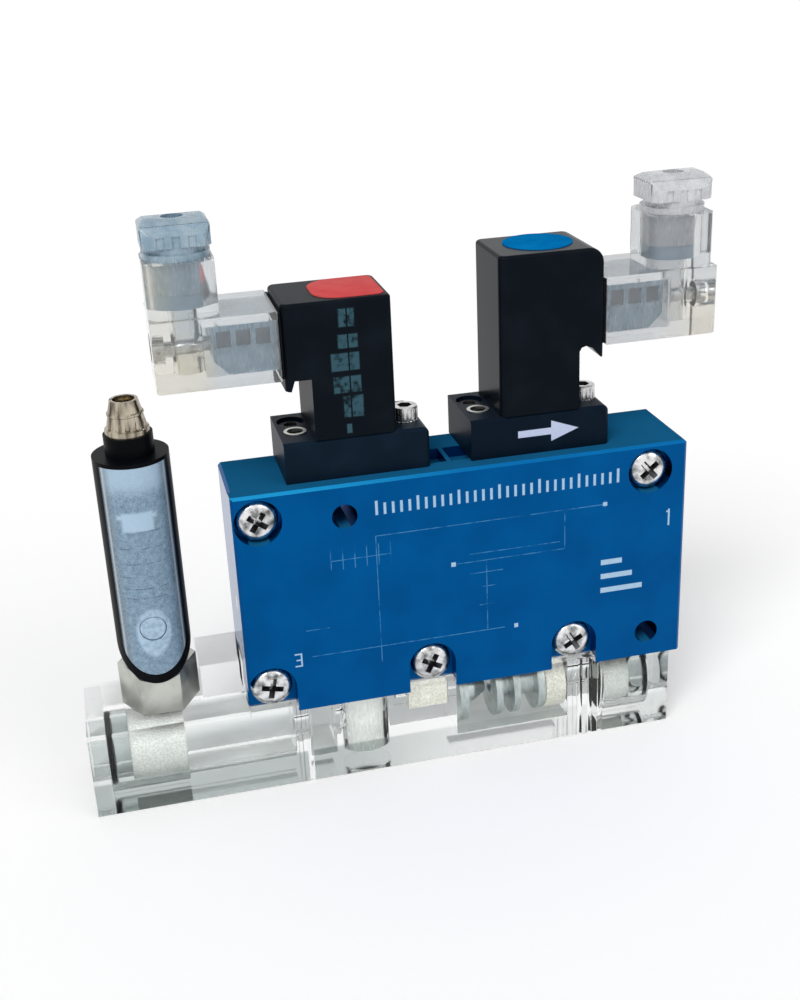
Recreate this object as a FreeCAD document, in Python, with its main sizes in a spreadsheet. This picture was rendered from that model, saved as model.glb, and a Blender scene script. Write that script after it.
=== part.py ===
# Vacuum generator: a blue anodised ejector body on a clear filter housing, with two micro
# solenoid valves and their clear plugs on top and a vacuum switch at the left end.
# Millimetres. X runs along the body, Y from front to back, Z up. The origin is on the
# underside of the clear housing, below the middle of the ejector body.

import FreeCAD, Part
import math
import os
import Sketcher

DIMENSIONS = {
    # ejector body, a block of anodised aluminium
    "body_width": 81.0,
    "body_depth": 18.0,
    "body_height": 42.0,
    "body_edge": 0.5,
    "mount_hole_radius": 2.2,
    "upper_mount_x": -21.5,
    "upper_mount_drop": 5.8,
    "lower_mount_x": 33.7,
    "lower_mount_rise": 4.9,
    "port_radius": 4.3,
    "pressure_port_rise": 27.6,
    "pressure_port_depth": 9.0,
    "feed_radius": 2.5,
    "blow_channel_radius": 1.5,
    "blow_channel_rise": 20.0,
    "blow_channel_y": -3.0,
    "motive_feed_x": -13.4,
    "motive_feed_y": 3.0,
    # five pan head screws in round seats that break out at the body's edge
    "screw_left_x": -36.2,
    "screw_right_x": 33.6,
    "screw_middle_x": -7.2,
    "screw_lower_right_x": 19.6,
    "screw_upper_drop": 5.0,
    "screw_lower_rise": 5.0,
    "seat_radius": 4.3,
    "seat_depth": 2.8,
    "screw_hole_radius": 2.2,
    "screw_head_radius": 3.7,
    "screw_head_height": 2.4,
    "screw_shank_radius": 1.95,
    "screw_shank_length": 12.0,
    # clear lower housing
    "base_height": 15.0,
    "step_rise": 1.5,
    "base_reach": 25.4,
    "base_short": 5.1,
    "cap_thickness": 3.0,
    "bore_rise": 7.6,
    "bore_radius": 6.6,
    "bore_inner_radius": 5.6,
    "left_bore_depth": 13.8,
    "left_bore_inner_depth": 33.4,
    "right_bore_depth": 9.0,
    "passage_radius": 2.0,
    "nozzle_feed_radius": 1.0,
    "nozzle_axis_rise": 9.0,
    "gallery_rise": 8.2,
    "chamber_start": -2.4,
    "chamber_end": 19.1,
    "felt_start": -11.5,
    "felt_end": -4.0,
    "felt_height": 5.0,
    "lug_width": 8.4,
    "lug_rise": 1.2,
    "lug_depth": 2.5,
    "tongue_depth": 6.0,
    "tongue_height": 9.0,
    "tongue_gap": 0.1,
    "step_block_width": 7.6,
    "step_block_depth": 11.0,
    "step_block_height": 6.5,
    "flute_radius": 0.5,
    # end caps and their rings
    "spigot_radius": 6.5,
    "spigot_length": 4.0,
    "groove_radius": 5.67,
    "groove_width": 1.1,
    "ring_section": 0.45,
    # filter, check valve, nozzles and silencer
    "filter_radius": 6.2,
    "filter_bore_radius": 3.4,
    "check_valve_x": -19.0,
    "cage_radius": 4.6,
    "cage_bore_radius": 3.3,
    "cage_window_rise": 6.0,
    "cage_floor": 8.3,
    "poppet_radius": 3.22,
    "nozzle_flange_radius": 5.9,
    # solenoid valves
    "valve_left_x": -18.0,
    "valve_right_x": 14.3,
    "valve_y": 1.5,
    "valve_base_width": 25.0,
    "valve_depth": 15.0,
    "valve_base_height": 7.2,
    "tower_half": 7.0,
    "tower_left_height": 30.7,
    "tower_right_height": 35.0,
    "overhang_reach": 11.3,
    "overhang_rise": 17.9,
    "lip_thickness": 1.5,
    "lip_rise": 16.1,
    "right_corner_radius": 2.6,
    "override_x": -9.6,
    "override_y": -1.8,
    "override_radius": 1.3,
    "override_sleeve_radius": 1.95,
    "override_depth": 4.0,
    "override_travel": 1.0,
    "fixing_x": 9.6,
    "fixing_y": -1.8,
    "fixing_back_y": 3.6,
    "fixing_head_radius": 2.25,
    "fixing_head_height": 2.5,
    "fixing_shank_radius": 1.2,
    "fixing_grip": 5.0,
    "plunger_radius": 2.95,
    "plunger_bore_radius": 3.0,
    "plunger_length": 12.0,
    "plunger_travel": 0.8,
    "plunger_spring_radius": 1.35,
    "plunger_spring_wire": 0.2,
    "plunger_recess": 4.5,
    "seal_outer_radius": 5.0,
    "seal_inner_radius": 4.2,
    "seal_height": 0.6,
    "red_plate_left": -5.3,
    "red_plate_right": 6.2,
    "red_plate_depth": 12.6,
    "blue_plate_radius": 6.0,
    "blue_plate_x": 2.2,
    "blue_plate_y": 0.6,
    "plate_thickness": 0.6,
    "plate_sunk": 0.4,
    "piston_left_x": -14.5,
    "piston_right_x": 11.5,
    "piston_bore_radius": 4.0,
    "piston_bore_depth": 19.0,
    "piston_radius": 3.95,
    "piston_length": 8.0,
    "piston_drop": 2.6,
    "piston_spring_radius": 2.6,
    "piston_spring_wire": 0.35,
    # clear plugs
    "plug_gasket": 0.5,
    "plug_reach": 20.65,
    "plug_underside": 18.1,
    "plug_top": 29.8,
    "neck_top": 38.6,
    "neck_width": 11.4,
    "neck_depth": 12.6,
    "neck_bore_radius": 4.6,
    "neck_bore_floor": 30.9,
    "neck_corner": 2.6,
    "wire_bore_radius": 2.4,
    "plug_screw_rise": 23.9,
    "plug_screw_radius": 1.25,
    "plug_screw_head_radius": 2.3,
    "plug_screw_head_height": 1.8,
    "plug_screw_sunk": 0.3,
    "plug_screw_grip": 4.0,
    "plug_wall": 1.7,
    "carrier_length": 11.0,
    "gland_head_width": 11.1,
    "gland_head_depth": 10.0,
    "gland_head_corner": 1.2,
    "gland_head_base": 40.8,
    "gland_head_top": 45.0,
    "gland_grip_width": 1.3,
    "gland_grip_depth": 0.25,
    "gland_grip_pitch": 2.5,
    "gland_flange_radius": 5.5,
    "gland_flange_height": 1.05,
    "gland_collar_radius": 4.85,
    "gland_skirt_radius": 4.52,
    "gland_skirt_base": 33.2,
    "cable_radius": 1.8,
    # vacuum switch
    "switch_x": -55.3,
    "switch_radius": 6.4,
    "switch_nose": 23.4,
    "switch_top": 64.1,
    "switch_wall": 1.5,
    "window_radius": 5.4,
    "window_round_height": 30.5,
    "window_top": 63.4,
    "hex_flats": 12.0,
    "hex_height": 8.7,
    "washer_thickness": 0.5,
    "stud_radius": 2.45,
    "stud_length": 2.2,
    "set_button_radius": 2.2,
    "set_button_height": 34.0,
    "collar_radius": 4.1,
    "collar_height": 3.5,
    "socket_foot_radius": 3.7,
    "socket_base_radius": 3.35,
    "socket_top_radius": 2.35,
    "socket_height": 5.8,
}

doc = FreeCAD.newDocument("VacuumGenerator")


class Dim:
    """A size that keeps its number and the sheet expression it comes from."""

    def __init__(self, value, formula):
        self.value = value
        self.formula = formula

    @staticmethod
    def of(size):
        return size if isinstance(size, Dim) else Dim(float(size), repr(float(size)))

    def _join(self, other, sign, value):
        return Dim(value, "(%s %s %s)" % (self.formula, sign, other.formula))

    def __add__(self, other):
        other = Dim.of(other)
        return self._join(other, "+", self.value + other.value)

    def __sub__(self, other):
        other = Dim.of(other)
        return self._join(other, "-", self.value - other.value)

    def __mul__(self, other):
        other = Dim.of(other)
        return self._join(other, "*", self.value * other.value)

    def __truediv__(self, other):
        other = Dim.of(other)
        return self._join(other, "/", self.value / other.value)

    def __radd__(self, other):
        return Dim.of(other) + self

    def __rsub__(self, other):
        return Dim.of(other) - self

    def __rmul__(self, other):
        return Dim.of(other) * self

    def __neg__(self):
        return Dim.of(0) - self


class Sheet:
    """The spreadsheet of driving dimensions, read by name."""

    def __init__(self):
        self.cells = doc.addObject("Spreadsheet::Sheet", "Dims")
        for row, (alias, value) in enumerate(DIMENSIONS.items(), start=1):
            self.cells.set("A%d" % row, alias)
            self.cells.set("B%d" % row, str(value))
            self.cells.setAlias("B%d" % row, alias)
        doc.recompute()

    def __getattr__(self, alias):
        return Dim(DIMENSIONS[alias], "Dims." + alias)


d = Sheet()
parts = []


def bind(item, prop, size):
    """Ties a property of an object to the sheet."""
    item.setExpression(prop, Dim.of(size).formula)


def named(item, label):
    """Registers an object as the sub-part of that name."""
    item.Label = label
    parts.append(item)
    return item


def new_body(label, x=0, y=0, z=0):
    body = doc.addObject("PartDesign::Body", label + "_body")
    for axis, size in zip("xyz", (x, y, z)):
        bind(body, "Placement.Base." + axis, size)
    return named(body, label)


def sketch_on(body, role, offset=0):
    """An empty sketch on one of the body's origin planes, moved along its normal."""
    sketch = body.newObject("Sketcher::SketchObject", "Sketch")
    planes = [item for item in body.Origin.OriginFeatures if item.Role == role]
    sketch.AttachmentSupport = [(planes[0], "")]
    sketch.MapMode = "FlatFace"
    bind(sketch, "AttachmentOffset.Base.z", offset)
    return sketch


def fix_point(sketch, curve, end, x, y):
    for kind, size in (("DistanceX", x), ("DistanceY", y)):
        size = Dim.of(size)
        index = sketch.addConstraint(Sketcher.Constraint(kind, -1, 1, curve, end, size.value))
        sketch.setExpression("Constraints[%d]" % index, size.formula)


def add_polygon(sketch, points):
    """A closed outline of straight lines through the points."""
    spots = [FreeCAD.Vector(Dim.of(x).value, Dim.of(y).value, 0) for x, y in points]
    first = sketch.GeometryCount
    count = len(spots)
    for index in range(count):
        line = Part.LineSegment(spots[index], spots[(index + 1) % count])
        sketch.addGeometry(line, False)
    for index in range(count):
        following = first + (index + 1) % count
        sketch.addConstraint(Sketcher.Constraint("Coincident", first + index, 2, following, 1))
    for index, (x, y) in enumerate(points):
        fix_point(sketch, first + index, 1, x, y)


def add_rectangle(sketch, x_low, y_low, x_high, y_high):
    add_polygon(sketch, [(x_low, y_low), (x_high, y_low), (x_high, y_high), (x_low, y_high)])


def add_circle(sketch, x, y, radius):
    centre = FreeCAD.Vector(Dim.of(x).value, Dim.of(y).value, 0)
    circle = Part.Circle(centre, FreeCAD.Vector(0, 0, 1), Dim.of(radius).value)
    index = sketch.addGeometry(circle, False)
    fix_point(sketch, index, 3, x, y)
    rule = sketch.addConstraint(Sketcher.Constraint("Radius", index, Dim.of(radius).value))
    sketch.setExpression("Constraints[%d]" % rule, Dim.of(radius).formula)


def pad(body, sketch, length, symmetric=False, reverse=False):
    feature = body.newObject("PartDesign::Pad", "Pad")
    feature.Profile = sketch
    feature.SideType = "Symmetric" if symmetric else "One side"
    feature.Reversed = reverse
    bind(feature, "Length", length)
    return feature


def pocket(body, sketch, length=None, symmetric=False, reverse=False):
    """Cuts a sketch into the body, right through it when no length is given."""
    feature = body.newObject("PartDesign::Pocket", "Pocket")
    feature.Profile = sketch
    feature.SideType = "Symmetric" if symmetric else "One side"
    feature.Reversed = reverse
    if length is None:
        feature.Type = "ThroughAll"
    else:
        bind(feature, "Length", length)
    return feature


def revolve(body, sketch, axis):
    feature = body.newObject("PartDesign::Revolution", "Revolution")
    feature.Profile = sketch
    feature.ReferenceAxis = (sketch, [axis])
    feature.Angle = 360.0
    return feature


def edges_where(shape, test):
    return ["Edge%d" % n for n, edge in enumerate(shape.Edges, start=1) if test(edge)]


def soften(body, kind, size, test):
    """Fillets or chamfers the edges of the body's tip that pass the test."""
    doc.recompute()
    base = body.Tip
    feature = body.newObject("PartDesign::" + kind, kind)
    feature.Base = (base, edges_where(base.Shape, test))
    bind(feature, "Radius" if kind == "Fillet" else "Size", size)
    return feature


def is_upright(edge, least=0.5):
    box = edge.BoundBox
    return box.ZLength > least and box.XLength < 1e-6 and box.YLength < 1e-6


def polar_copies(body, sketch, feature, count):
    """Repeats a feature about the vertical axis of the sketch that it came from."""
    pattern = body.newObject("PartDesign::PolarPattern", "PolarPattern")
    pattern.Originals = [feature]
    pattern.Axis = (sketch, ["N_Axis"])
    pattern.Angle = 360.0
    pattern.Occurrences = count
    body.Tip = pattern
    return pattern


def cylinder(x, y, z, radius, length, along="z"):
    """A cylinder that starts at the point and runs along a positive axis."""
    item = doc.addObject("Part::Cylinder", "Cylinder")
    turns = {
        "x": FreeCAD.Rotation(FreeCAD.Vector(0, 1, 0), 90),
        "y": FreeCAD.Rotation(FreeCAD.Vector(1, 0, 0), -90),
        "z": FreeCAD.Rotation(),
    }
    item.Placement = FreeCAD.Placement(FreeCAD.Vector(), turns[along])
    for axis, size in zip("xyz", (x, y, z)):
        bind(item, "Placement.Base." + axis, size)
    bind(item, "Radius", radius)
    bind(item, "Height", length)
    return item


def box(x, y, z, length, width, height):
    item = doc.addObject("Part::Box", "Box")
    for axis, size in zip("xyz", (x, y, z)):
        bind(item, "Placement.Base." + axis, size)
    bind(item, "Length", length)
    bind(item, "Width", width)
    bind(item, "Height", height)
    return item


def joined(*shapes):
    item = doc.addObject("Part::MultiFuse", "Fuse")
    item.Shapes = list(shapes)
    return item


def less(base, *tools):
    """The base with the tools cut away."""
    item = doc.addObject("Part::Cut", "Cut")
    item.Base = base
    item.Tool = tools[0] if len(tools) == 1 else joined(*tools)
    return item


def shared(first, second):
    item = doc.addObject("Part::Common", "Common")
    item.Base = first
    item.Tool = second
    return item


def tube(x, y, z, outer, inner, length, along="z"):
    outside = cylinder(x, y, z, outer, length, along)
    return less(outside, cylinder(x, y, z, inner, length, along))


# Places that several pieces share
HALF_WIDTH = d.body_width / 2
HALF_DEPTH = d.body_depth / 2
BODY_TOP = d.base_height + d.body_height
LOWER_SCREW_Z = d.base_height + d.screw_lower_rise
UPPER_SCREW_Z = BODY_TOP - d.screw_upper_drop
LOWER_SCREWS_X = (d.screw_left_x, d.screw_middle_x, d.screw_lower_right_x)
UPPER_SCREWS_X = (d.screw_left_x, d.screw_right_x)
SCREWS = [(x, LOWER_SCREW_Z) for x in LOWER_SCREWS_X] + [(x, UPPER_SCREW_Z) for x in UPPER_SCREWS_X]
HOUSING_LEFT = -HALF_WIDTH - d.base_reach
HOUSING_RIGHT = HALF_WIDTH - d.base_short
STEP_TOP = d.base_height + d.step_rise
PISTONS = ((d.piston_left_x, "supply"), (d.piston_right_x, "blowoff"))
VALVES = (
    ("supply", d.valve_left_x, -1, d.tower_left_height, d.piston_left_x),
    ("blowoff", d.valve_right_x, 1, d.tower_right_height, d.piston_right_x),
)


def coil_spring(name, x, y, z, coil_radius, wire_radius, length, turns):
    """A helical spring of hexagonal wire that stands on the point."""
    sides = 9
    rise = (length - 2 * wire_radius).value
    radius = Dim.of(coil_radius).value
    count = turns * sides
    points = []
    for index in range(count + 1):
        angle = 2 * math.pi * index / sides
        height = wire_radius.value + rise * index / count
        points.append(FreeCAD.Vector(radius * math.cos(angle), radius * math.sin(angle), height))
    wire = Part.makeCircle(wire_radius.value, points[0], points[1] - points[0])
    section = Part.makePolygon(wire.discretize(7))
    item = doc.addObject("Part::Feature", "Spring")
    item.Shape = Part.makePolygon(points).makePipeShell([section], True, True, 1)
    for axis, size in zip("xyz", (x, y, z)):
        bind(item, "Placement.Base." + axis, size)
    named(item, name)


def make_ejector_body():
    """The block with its screw seats, tongue slots, ports and valve bores."""
    body = new_body("ejector_body")
    front = sketch_on(body, "XZ_Plane")
    add_rectangle(front, -HALF_WIDTH, d.base_height, HALF_WIDTH, BODY_TOP)
    pad(body, front, d.body_depth, symmetric=True)
    floor = d.base_height.value
    soften(body, "Chamfer", d.body_edge, lambda e: e.BoundBox.ZMin > floor + 1 or is_upright(e))

    seats = sketch_on(body, "XZ_Plane", HALF_DEPTH)
    for x, z in SCREWS:
        add_circle(seats, x, z, d.seat_radius)
    pocket(body, seats, d.seat_depth)
    mouths = sketch_on(body, "XZ_Plane", HALF_DEPTH)
    for x in LOWER_SCREWS_X:
        add_rectangle(mouths, x - d.seat_radius, d.base_height - 1, x + d.seat_radius, LOWER_SCREW_Z)
    for x in UPPER_SCREWS_X:
        add_rectangle(mouths, x - d.seat_radius, UPPER_SCREW_Z, x + d.seat_radius, BODY_TOP + 1)
    pocket(body, mouths, d.seat_depth)

    holes = sketch_on(body, "XZ_Plane")
    for x, z in SCREWS:
        add_circle(holes, x, z, d.screw_hole_radius)
    add_circle(holes, d.upper_mount_x, BODY_TOP - d.upper_mount_drop, d.mount_hole_radius)
    add_circle(holes, d.lower_mount_x, d.base_height + d.lower_mount_rise, d.mount_hole_radius)
    pocket(body, holes, d.body_depth + 2, symmetric=True)

    slots = sketch_on(body, "XY_Plane", d.base_height)
    slot_half = d.lug_width / 2 + d.tongue_gap
    slot_deep = d.tongue_depth / 2 + d.tongue_gap
    for x in LOWER_SCREWS_X:
        add_rectangle(slots, x - slot_half, -slot_deep, x + slot_half, slot_deep)
    pocket(body, slots, d.tongue_height + 2 * d.tongue_gap, reverse=True)

    recess = sketch_on(body, "XY_Plane", BODY_TOP)
    rib_x = (d.valve_left_x + d.valve_right_x) / 2
    recess_half = (d.valve_right_x - d.valve_left_x - d.valve_base_width) / 2 + 1.5
    add_rectangle(recess, rib_x - recess_half, -4.5, rib_x - 0.4, 2.0)
    add_rectangle(recess, rib_x + 0.4, -4.5, rib_x + recess_half, 2.0)
    pocket(body, recess, 2.0)

    bores = sketch_on(body, "XY_Plane", BODY_TOP)
    for x, _ in PISTONS:
        add_circle(bores, x, d.valve_y, d.piston_bore_radius)
    pocket(body, bores, d.piston_bore_depth)
    threads = sketch_on(body, "XY_Plane", BODY_TOP)
    for x in (d.valve_left_x, d.valve_right_x):
        add_circle(threads, x + d.fixing_x, d.valve_y + d.fixing_y, d.fixing_shank_radius + 0.05)
        add_circle(threads, x - d.fixing_x, d.valve_y + d.fixing_back_y, d.fixing_shank_radius + 0.05)
    pocket(body, threads, d.fixing_grip + 0.5)

    port_z = d.base_height + d.pressure_port_rise
    port = sketch_on(body, "YZ_Plane", HALF_WIDTH)
    add_circle(port, 0, port_z, d.port_radius)
    pocket(body, port, d.pressure_port_depth)
    feed = sketch_on(body, "YZ_Plane", HALF_WIDTH)
    add_circle(feed, 0, port_z, d.feed_radius)
    pocket(body, feed, HALF_WIDTH - d.piston_left_x)
    blow = sketch_on(body, "YZ_Plane", -HALF_WIDTH)
    add_circle(blow, d.blow_channel_y, d.base_height + d.blow_channel_rise, d.blow_channel_radius)
    pocket(body, blow, HALF_WIDTH + d.piston_right_x, reverse=True)

    drills = sketch_on(body, "XY_Plane", d.base_height)
    add_circle(drills, d.motive_feed_x, d.motive_feed_y, d.nozzle_feed_radius)
    pocket(body, drills, d.body_height - d.piston_bore_depth + 0.5, reverse=True)
    blow_drills = sketch_on(body, "XY_Plane", d.base_height + d.blow_channel_rise)
    add_circle(blow_drills, d.piston_right_x, d.blow_channel_y + 1.6, d.nozzle_feed_radius)
    pocket(body, blow_drills, d.body_height - d.piston_bore_depth - d.blow_channel_rise + 0.5,
           reverse=True)
    blow_exit = sketch_on(body, "XY_Plane", d.base_height)
    add_circle(blow_exit, d.check_valve_x - 8.3, d.blow_channel_y, d.nozzle_feed_radius)
    pocket(body, blow_exit, d.blow_channel_rise, reverse=True)


def make_channel_plug():
    """The ball that closes the cross drilling at the left end."""
    plug = cylinder(-HALF_WIDTH, d.blow_channel_y, d.base_height + d.blow_channel_rise,
                    d.blow_channel_radius - 0.02, 3, "x")
    named(plug, "channel_plug")


def make_screw_master():
    """One pan head screw, head up, with its cross recess."""
    body = doc.addObject("PartDesign::Body", "pan_head_screw")
    profile = sketch_on(body, "XZ_Plane")
    head = d.screw_head_radius
    add_polygon(profile, [
        (0, -d.screw_shank_length),
        (d.screw_shank_radius - 0.5, -d.screw_shank_length),
        (d.screw_shank_radius, -d.screw_shank_length + 0.6),
        (d.screw_shank_radius, 0),
        (head, 0),
        (head, d.screw_head_height * 0.5),
        (head * 0.86, d.screw_head_height * 0.82),
        (head * 0.5, d.screw_head_height * 0.97),
        (0, d.screw_head_height),
    ])
    revolve(body, profile, "V_Axis")
    arm = head * 0.56
    web = head * 0.13
    cross = sketch_on(body, "XY_Plane", d.screw_head_height)
    add_polygon(cross, [
        (web, web), (web, arm), (-web, arm), (-web, web), (-arm, web), (-arm, -web),
        (-web, -web), (-web, -arm), (web, -arm), (web, -web), (arm, -web), (arm, web),
    ])
    pocket(body, cross, 1.4)
    return body


def make_body_screws():
    """The five screws in the front of the body, each tightened to its own angle."""
    master = make_screw_master()
    links = []
    for (x, z), angle in zip(SCREWS, (12, 28, 60, 35, 50)):
        link = doc.addObject("App::Link", "ScrewLink")
        link.LinkedObject = master
        facing = FreeCAD.Rotation(FreeCAD.Vector(1, 0, 0), 90)
        twist = FreeCAD.Rotation(FreeCAD.Vector(0, 0, 1), angle)
        link.Placement = FreeCAD.Placement(FreeCAD.Vector(), facing.multiply(twist))
        bind(link, "Placement.Base.x", x)
        bind(link, "Placement.Base.y", d.seat_depth - HALF_DEPTH)
        bind(link, "Placement.Base.z", z)
        links.append(link)
    group = doc.addObject("Part::Compound", "BodyScrews")
    group.Links = links
    named(group, "body_screws")


def make_clear_housing():
    """The clear block with its end bores, chambers, lugs and tongues."""
    body = new_body("clear_housing")
    outline = sketch_on(body, "XZ_Plane")
    add_polygon(outline, [
        (HOUSING_LEFT, 0), (HOUSING_RIGHT, 0), (HOUSING_RIGHT, d.base_height),
        (-HALF_WIDTH, d.base_height), (-HALF_WIDTH, STEP_TOP), (HOUSING_LEFT, STEP_TOP),
    ])
    pad(body, outline, d.body_depth, symmetric=True)
    step = sketch_on(body, "XY_Plane", STEP_TOP)
    add_rectangle(step, -HALF_WIDTH - d.step_block_width, HALF_DEPTH - d.step_block_depth,
                  -HALF_WIDTH, HALF_DEPTH)
    pad(body, step, d.step_block_height)
    lugs = sketch_on(body, "XY_Plane", d.base_height)
    half = d.lug_width / 2
    for x in LOWER_SCREWS_X:
        add_rectangle(lugs, x - half, -HALF_DEPTH, x + half, d.lug_depth - HALF_DEPTH)
    pad(body, lugs, d.lug_rise)
    tongues = sketch_on(body, "XY_Plane", d.base_height)
    for x in LOWER_SCREWS_X:
        add_rectangle(tongues, x - half, -d.tongue_depth / 2, x + half, d.tongue_depth / 2)
    pad(body, tongues, d.tongue_height)
    eyes = sketch_on(body, "XZ_Plane")
    for x in LOWER_SCREWS_X:
        add_circle(eyes, x, LOWER_SCREW_Z, d.screw_hole_radius)
    pocket(body, eyes, d.tongue_depth + 1, symmetric=True)

    left_depths = (
        (d.bore_radius, d.left_bore_depth),
        (d.bore_inner_radius, d.left_bore_inner_depth),
        (d.passage_radius, d.check_valve_x - HOUSING_LEFT),
    )
    for radius, depth in left_depths:
        bore = sketch_on(body, "YZ_Plane", HOUSING_LEFT)
        add_circle(bore, 0, d.bore_rise, radius)
        pocket(body, bore, depth, reverse=True)
    right_depths = (
        (d.bore_radius, d.bore_rise, d.right_bore_depth),
        (d.passage_radius, d.nozzle_axis_rise, HOUSING_RIGHT - d.chamber_end + 0.5),
    )
    for radius, rise, depth in right_depths:
        bore = sketch_on(body, "YZ_Plane", HOUSING_RIGHT)
        add_circle(bore, 0, rise, radius)
        pocket(body, bore, depth)

    sensing = sketch_on(body, "XY_Plane", STEP_TOP)
    add_circle(sensing, d.switch_x, 0, d.stud_radius + 0.05)
    pocket(body, sensing, 4.0)
    seat = sketch_on(body, "XY_Plane", d.base_height)
    add_circle(seat, d.check_valve_x, 0, d.cage_radius + 0.05)
    pocket(body, seat, 13.0)
    chambers = sketch_on(body, "XY_Plane", d.base_height)
    add_rectangle(chambers, -29.6, -5, -25, 5)
    add_rectangle(chambers, d.chamber_start, -6, d.chamber_end, 6)
    pocket(body, chambers, 11.9)
    felt_bed = sketch_on(body, "XY_Plane", d.base_height)
    add_rectangle(felt_bed, d.felt_start, -6, d.felt_end, 6)
    pocket(body, felt_bed, d.felt_height)
    link = sketch_on(body, "XY_Plane", d.base_height)
    add_rectangle(link, d.check_valve_x + 4, -1.5, d.chamber_start + 0.5, 1.5)
    pocket(body, link, 2.4)
    feed = sketch_on(body, "XY_Plane", d.base_height)
    add_circle(feed, d.motive_feed_x, d.motive_feed_y, d.nozzle_feed_radius)
    pocket(body, feed, d.base_height - d.gallery_rise + 0.6)
    gallery = sketch_on(body, "YZ_Plane", d.motive_feed_x)
    add_circle(gallery, d.motive_feed_y, d.gallery_rise, d.nozzle_feed_radius)
    pocket(body, gallery, d.chamber_start - d.motive_feed_x + 0.2, reverse=True)
    flutes = sketch_on(body, "XY_Plane")
    for x in (-30.4, 20.8, 22.8, 24.8):
        for side in (-1, 1):
            add_circle(flutes, x, side * HALF_DEPTH, d.flute_radius)
    pocket(body, flutes, 40, symmetric=True)


def make_end_cap(name, outer_x, side, height):
    """A flange with a grooved spigot that plugs a bore, and a threaded port through it."""
    body = new_body(name, outer_x)
    inward = side < 0
    lengths = (
        (None, d.cap_thickness),
        (d.groove_radius, d.groove_width),
        (d.spigot_radius, d.spigot_length - d.groove_width),
    )
    start = Dim.of(0)
    for radius, length in lengths:
        ring = sketch_on(body, "YZ_Plane", start * (1 if inward else -1))
        if radius is None:
            add_rectangle(ring, -HALF_DEPTH, 0, HALF_DEPTH, height)
        else:
            add_circle(ring, 0, d.bore_rise, radius)
        pad(body, ring, length, reverse=not inward)
        start = start + length
    port = sketch_on(body, "YZ_Plane")
    add_circle(port, 0, d.bore_rise, d.port_radius)
    pocket(body, port, start, reverse=inward)


def make_o_ring(name, x):
    ring = doc.addObject("Part::Torus", "Ring")
    bind(ring, "Radius1", d.groove_radius + d.ring_section + 0.02)
    bind(ring, "Radius2", d.ring_section)
    ring.Placement = FreeCAD.Placement(
        FreeCAD.Vector(), FreeCAD.Rotation(FreeCAD.Vector(0, 1, 0), 90))
    bind(ring, "Placement.Base.x", x)
    bind(ring, "Placement.Base.z", d.bore_rise)
    named(ring, name)


def make_filter_and_silencer():
    """The porous filter tube in the left bore and the porous silencer in the right one."""
    filter_start = HOUSING_LEFT + d.spigot_length
    filter_length = d.left_bore_depth - d.spigot_length
    sleeve = tube(filter_start, 0, d.bore_rise, d.filter_radius, d.filter_bore_radius,
                  filter_length, "x")
    named(sleeve, "filter_element")
    floor = HOUSING_RIGHT - d.right_bore_depth
    pad_length = d.right_bore_depth - d.spigot_length
    disc = cylinder(floor, 0, d.bore_rise, d.filter_radius, pad_length, "x")
    dimple = cylinder(floor + 1.5, 0, d.bore_rise, d.filter_bore_radius, pad_length, "x")
    named(less(disc, dimple), "exhaust_silencer")


def make_felt_and_diffuser():
    """The felt in the suction channel and the pale ring behind the receiver nozzle."""
    gap = 0.1
    felt = box(d.felt_start + gap, gap - 6, d.base_height - d.felt_height + gap,
               d.felt_end - d.felt_start - 2 * gap, 12 - 2 * gap, d.felt_height - 2 * gap)
    named(felt, "suction_felt")
    ring = tube(d.chamber_end - 3.9, 0, d.nozzle_axis_rise, d.nozzle_flange_radius,
                d.passage_radius, 3.8, "x")
    named(ring, "diffuser_ring")


def make_check_valve():
    """The cage of the check valve, the poppet that lifts in it and the light spring above."""
    cage = new_body("check_valve_cage", d.check_valve_x)
    ring = sketch_on(cage, "XY_Plane", 2.1)
    add_circle(ring, 0, 0, d.cage_radius)
    pad(cage, ring, 12.8)
    bore = sketch_on(cage, "XY_Plane", 14.9)
    add_circle(bore, 0, 0, d.cage_bore_radius)
    pocket(cage, bore, 14.9 - d.cage_floor)
    throat = sketch_on(cage, "XY_Plane", 14.9)
    add_circle(throat, 0, 0, d.cage_bore_radius - 1.3)
    pocket(cage, throat, 14.9 - d.cage_window_rise + 1.5)
    window = sketch_on(cage, "YZ_Plane")
    add_circle(window, 0, d.cage_window_rise, 1.6)
    pocket(cage, window, 12.0, symmetric=True)
    outlet = sketch_on(cage, "YZ_Plane")
    add_rectangle(outlet, -1.5, 12.6, 1.5, 16)
    pocket(cage, outlet, 6.0, reverse=True)
    poppet = new_body("check_valve_poppet", d.check_valve_x, 0, d.cage_floor + 0.05)
    profile = sketch_on(poppet, "XZ_Plane")
    add_polygon(profile, [
        (0, 0), (2.6, 0), (d.poppet_radius, 0.5), (d.poppet_radius, 1.5), (1.3, 1.7),
        (1.3, 4.5), (0, 4.5),
    ])
    revolve(poppet, profile, "V_Axis")
    spring_foot = d.cage_floor + 1.85
    coil_spring("check_valve_spring", d.check_valve_x, 0, spring_foot, 2.1,
                d.plunger_spring_wire, d.base_height - spring_foot - 0.05, 3)


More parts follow.
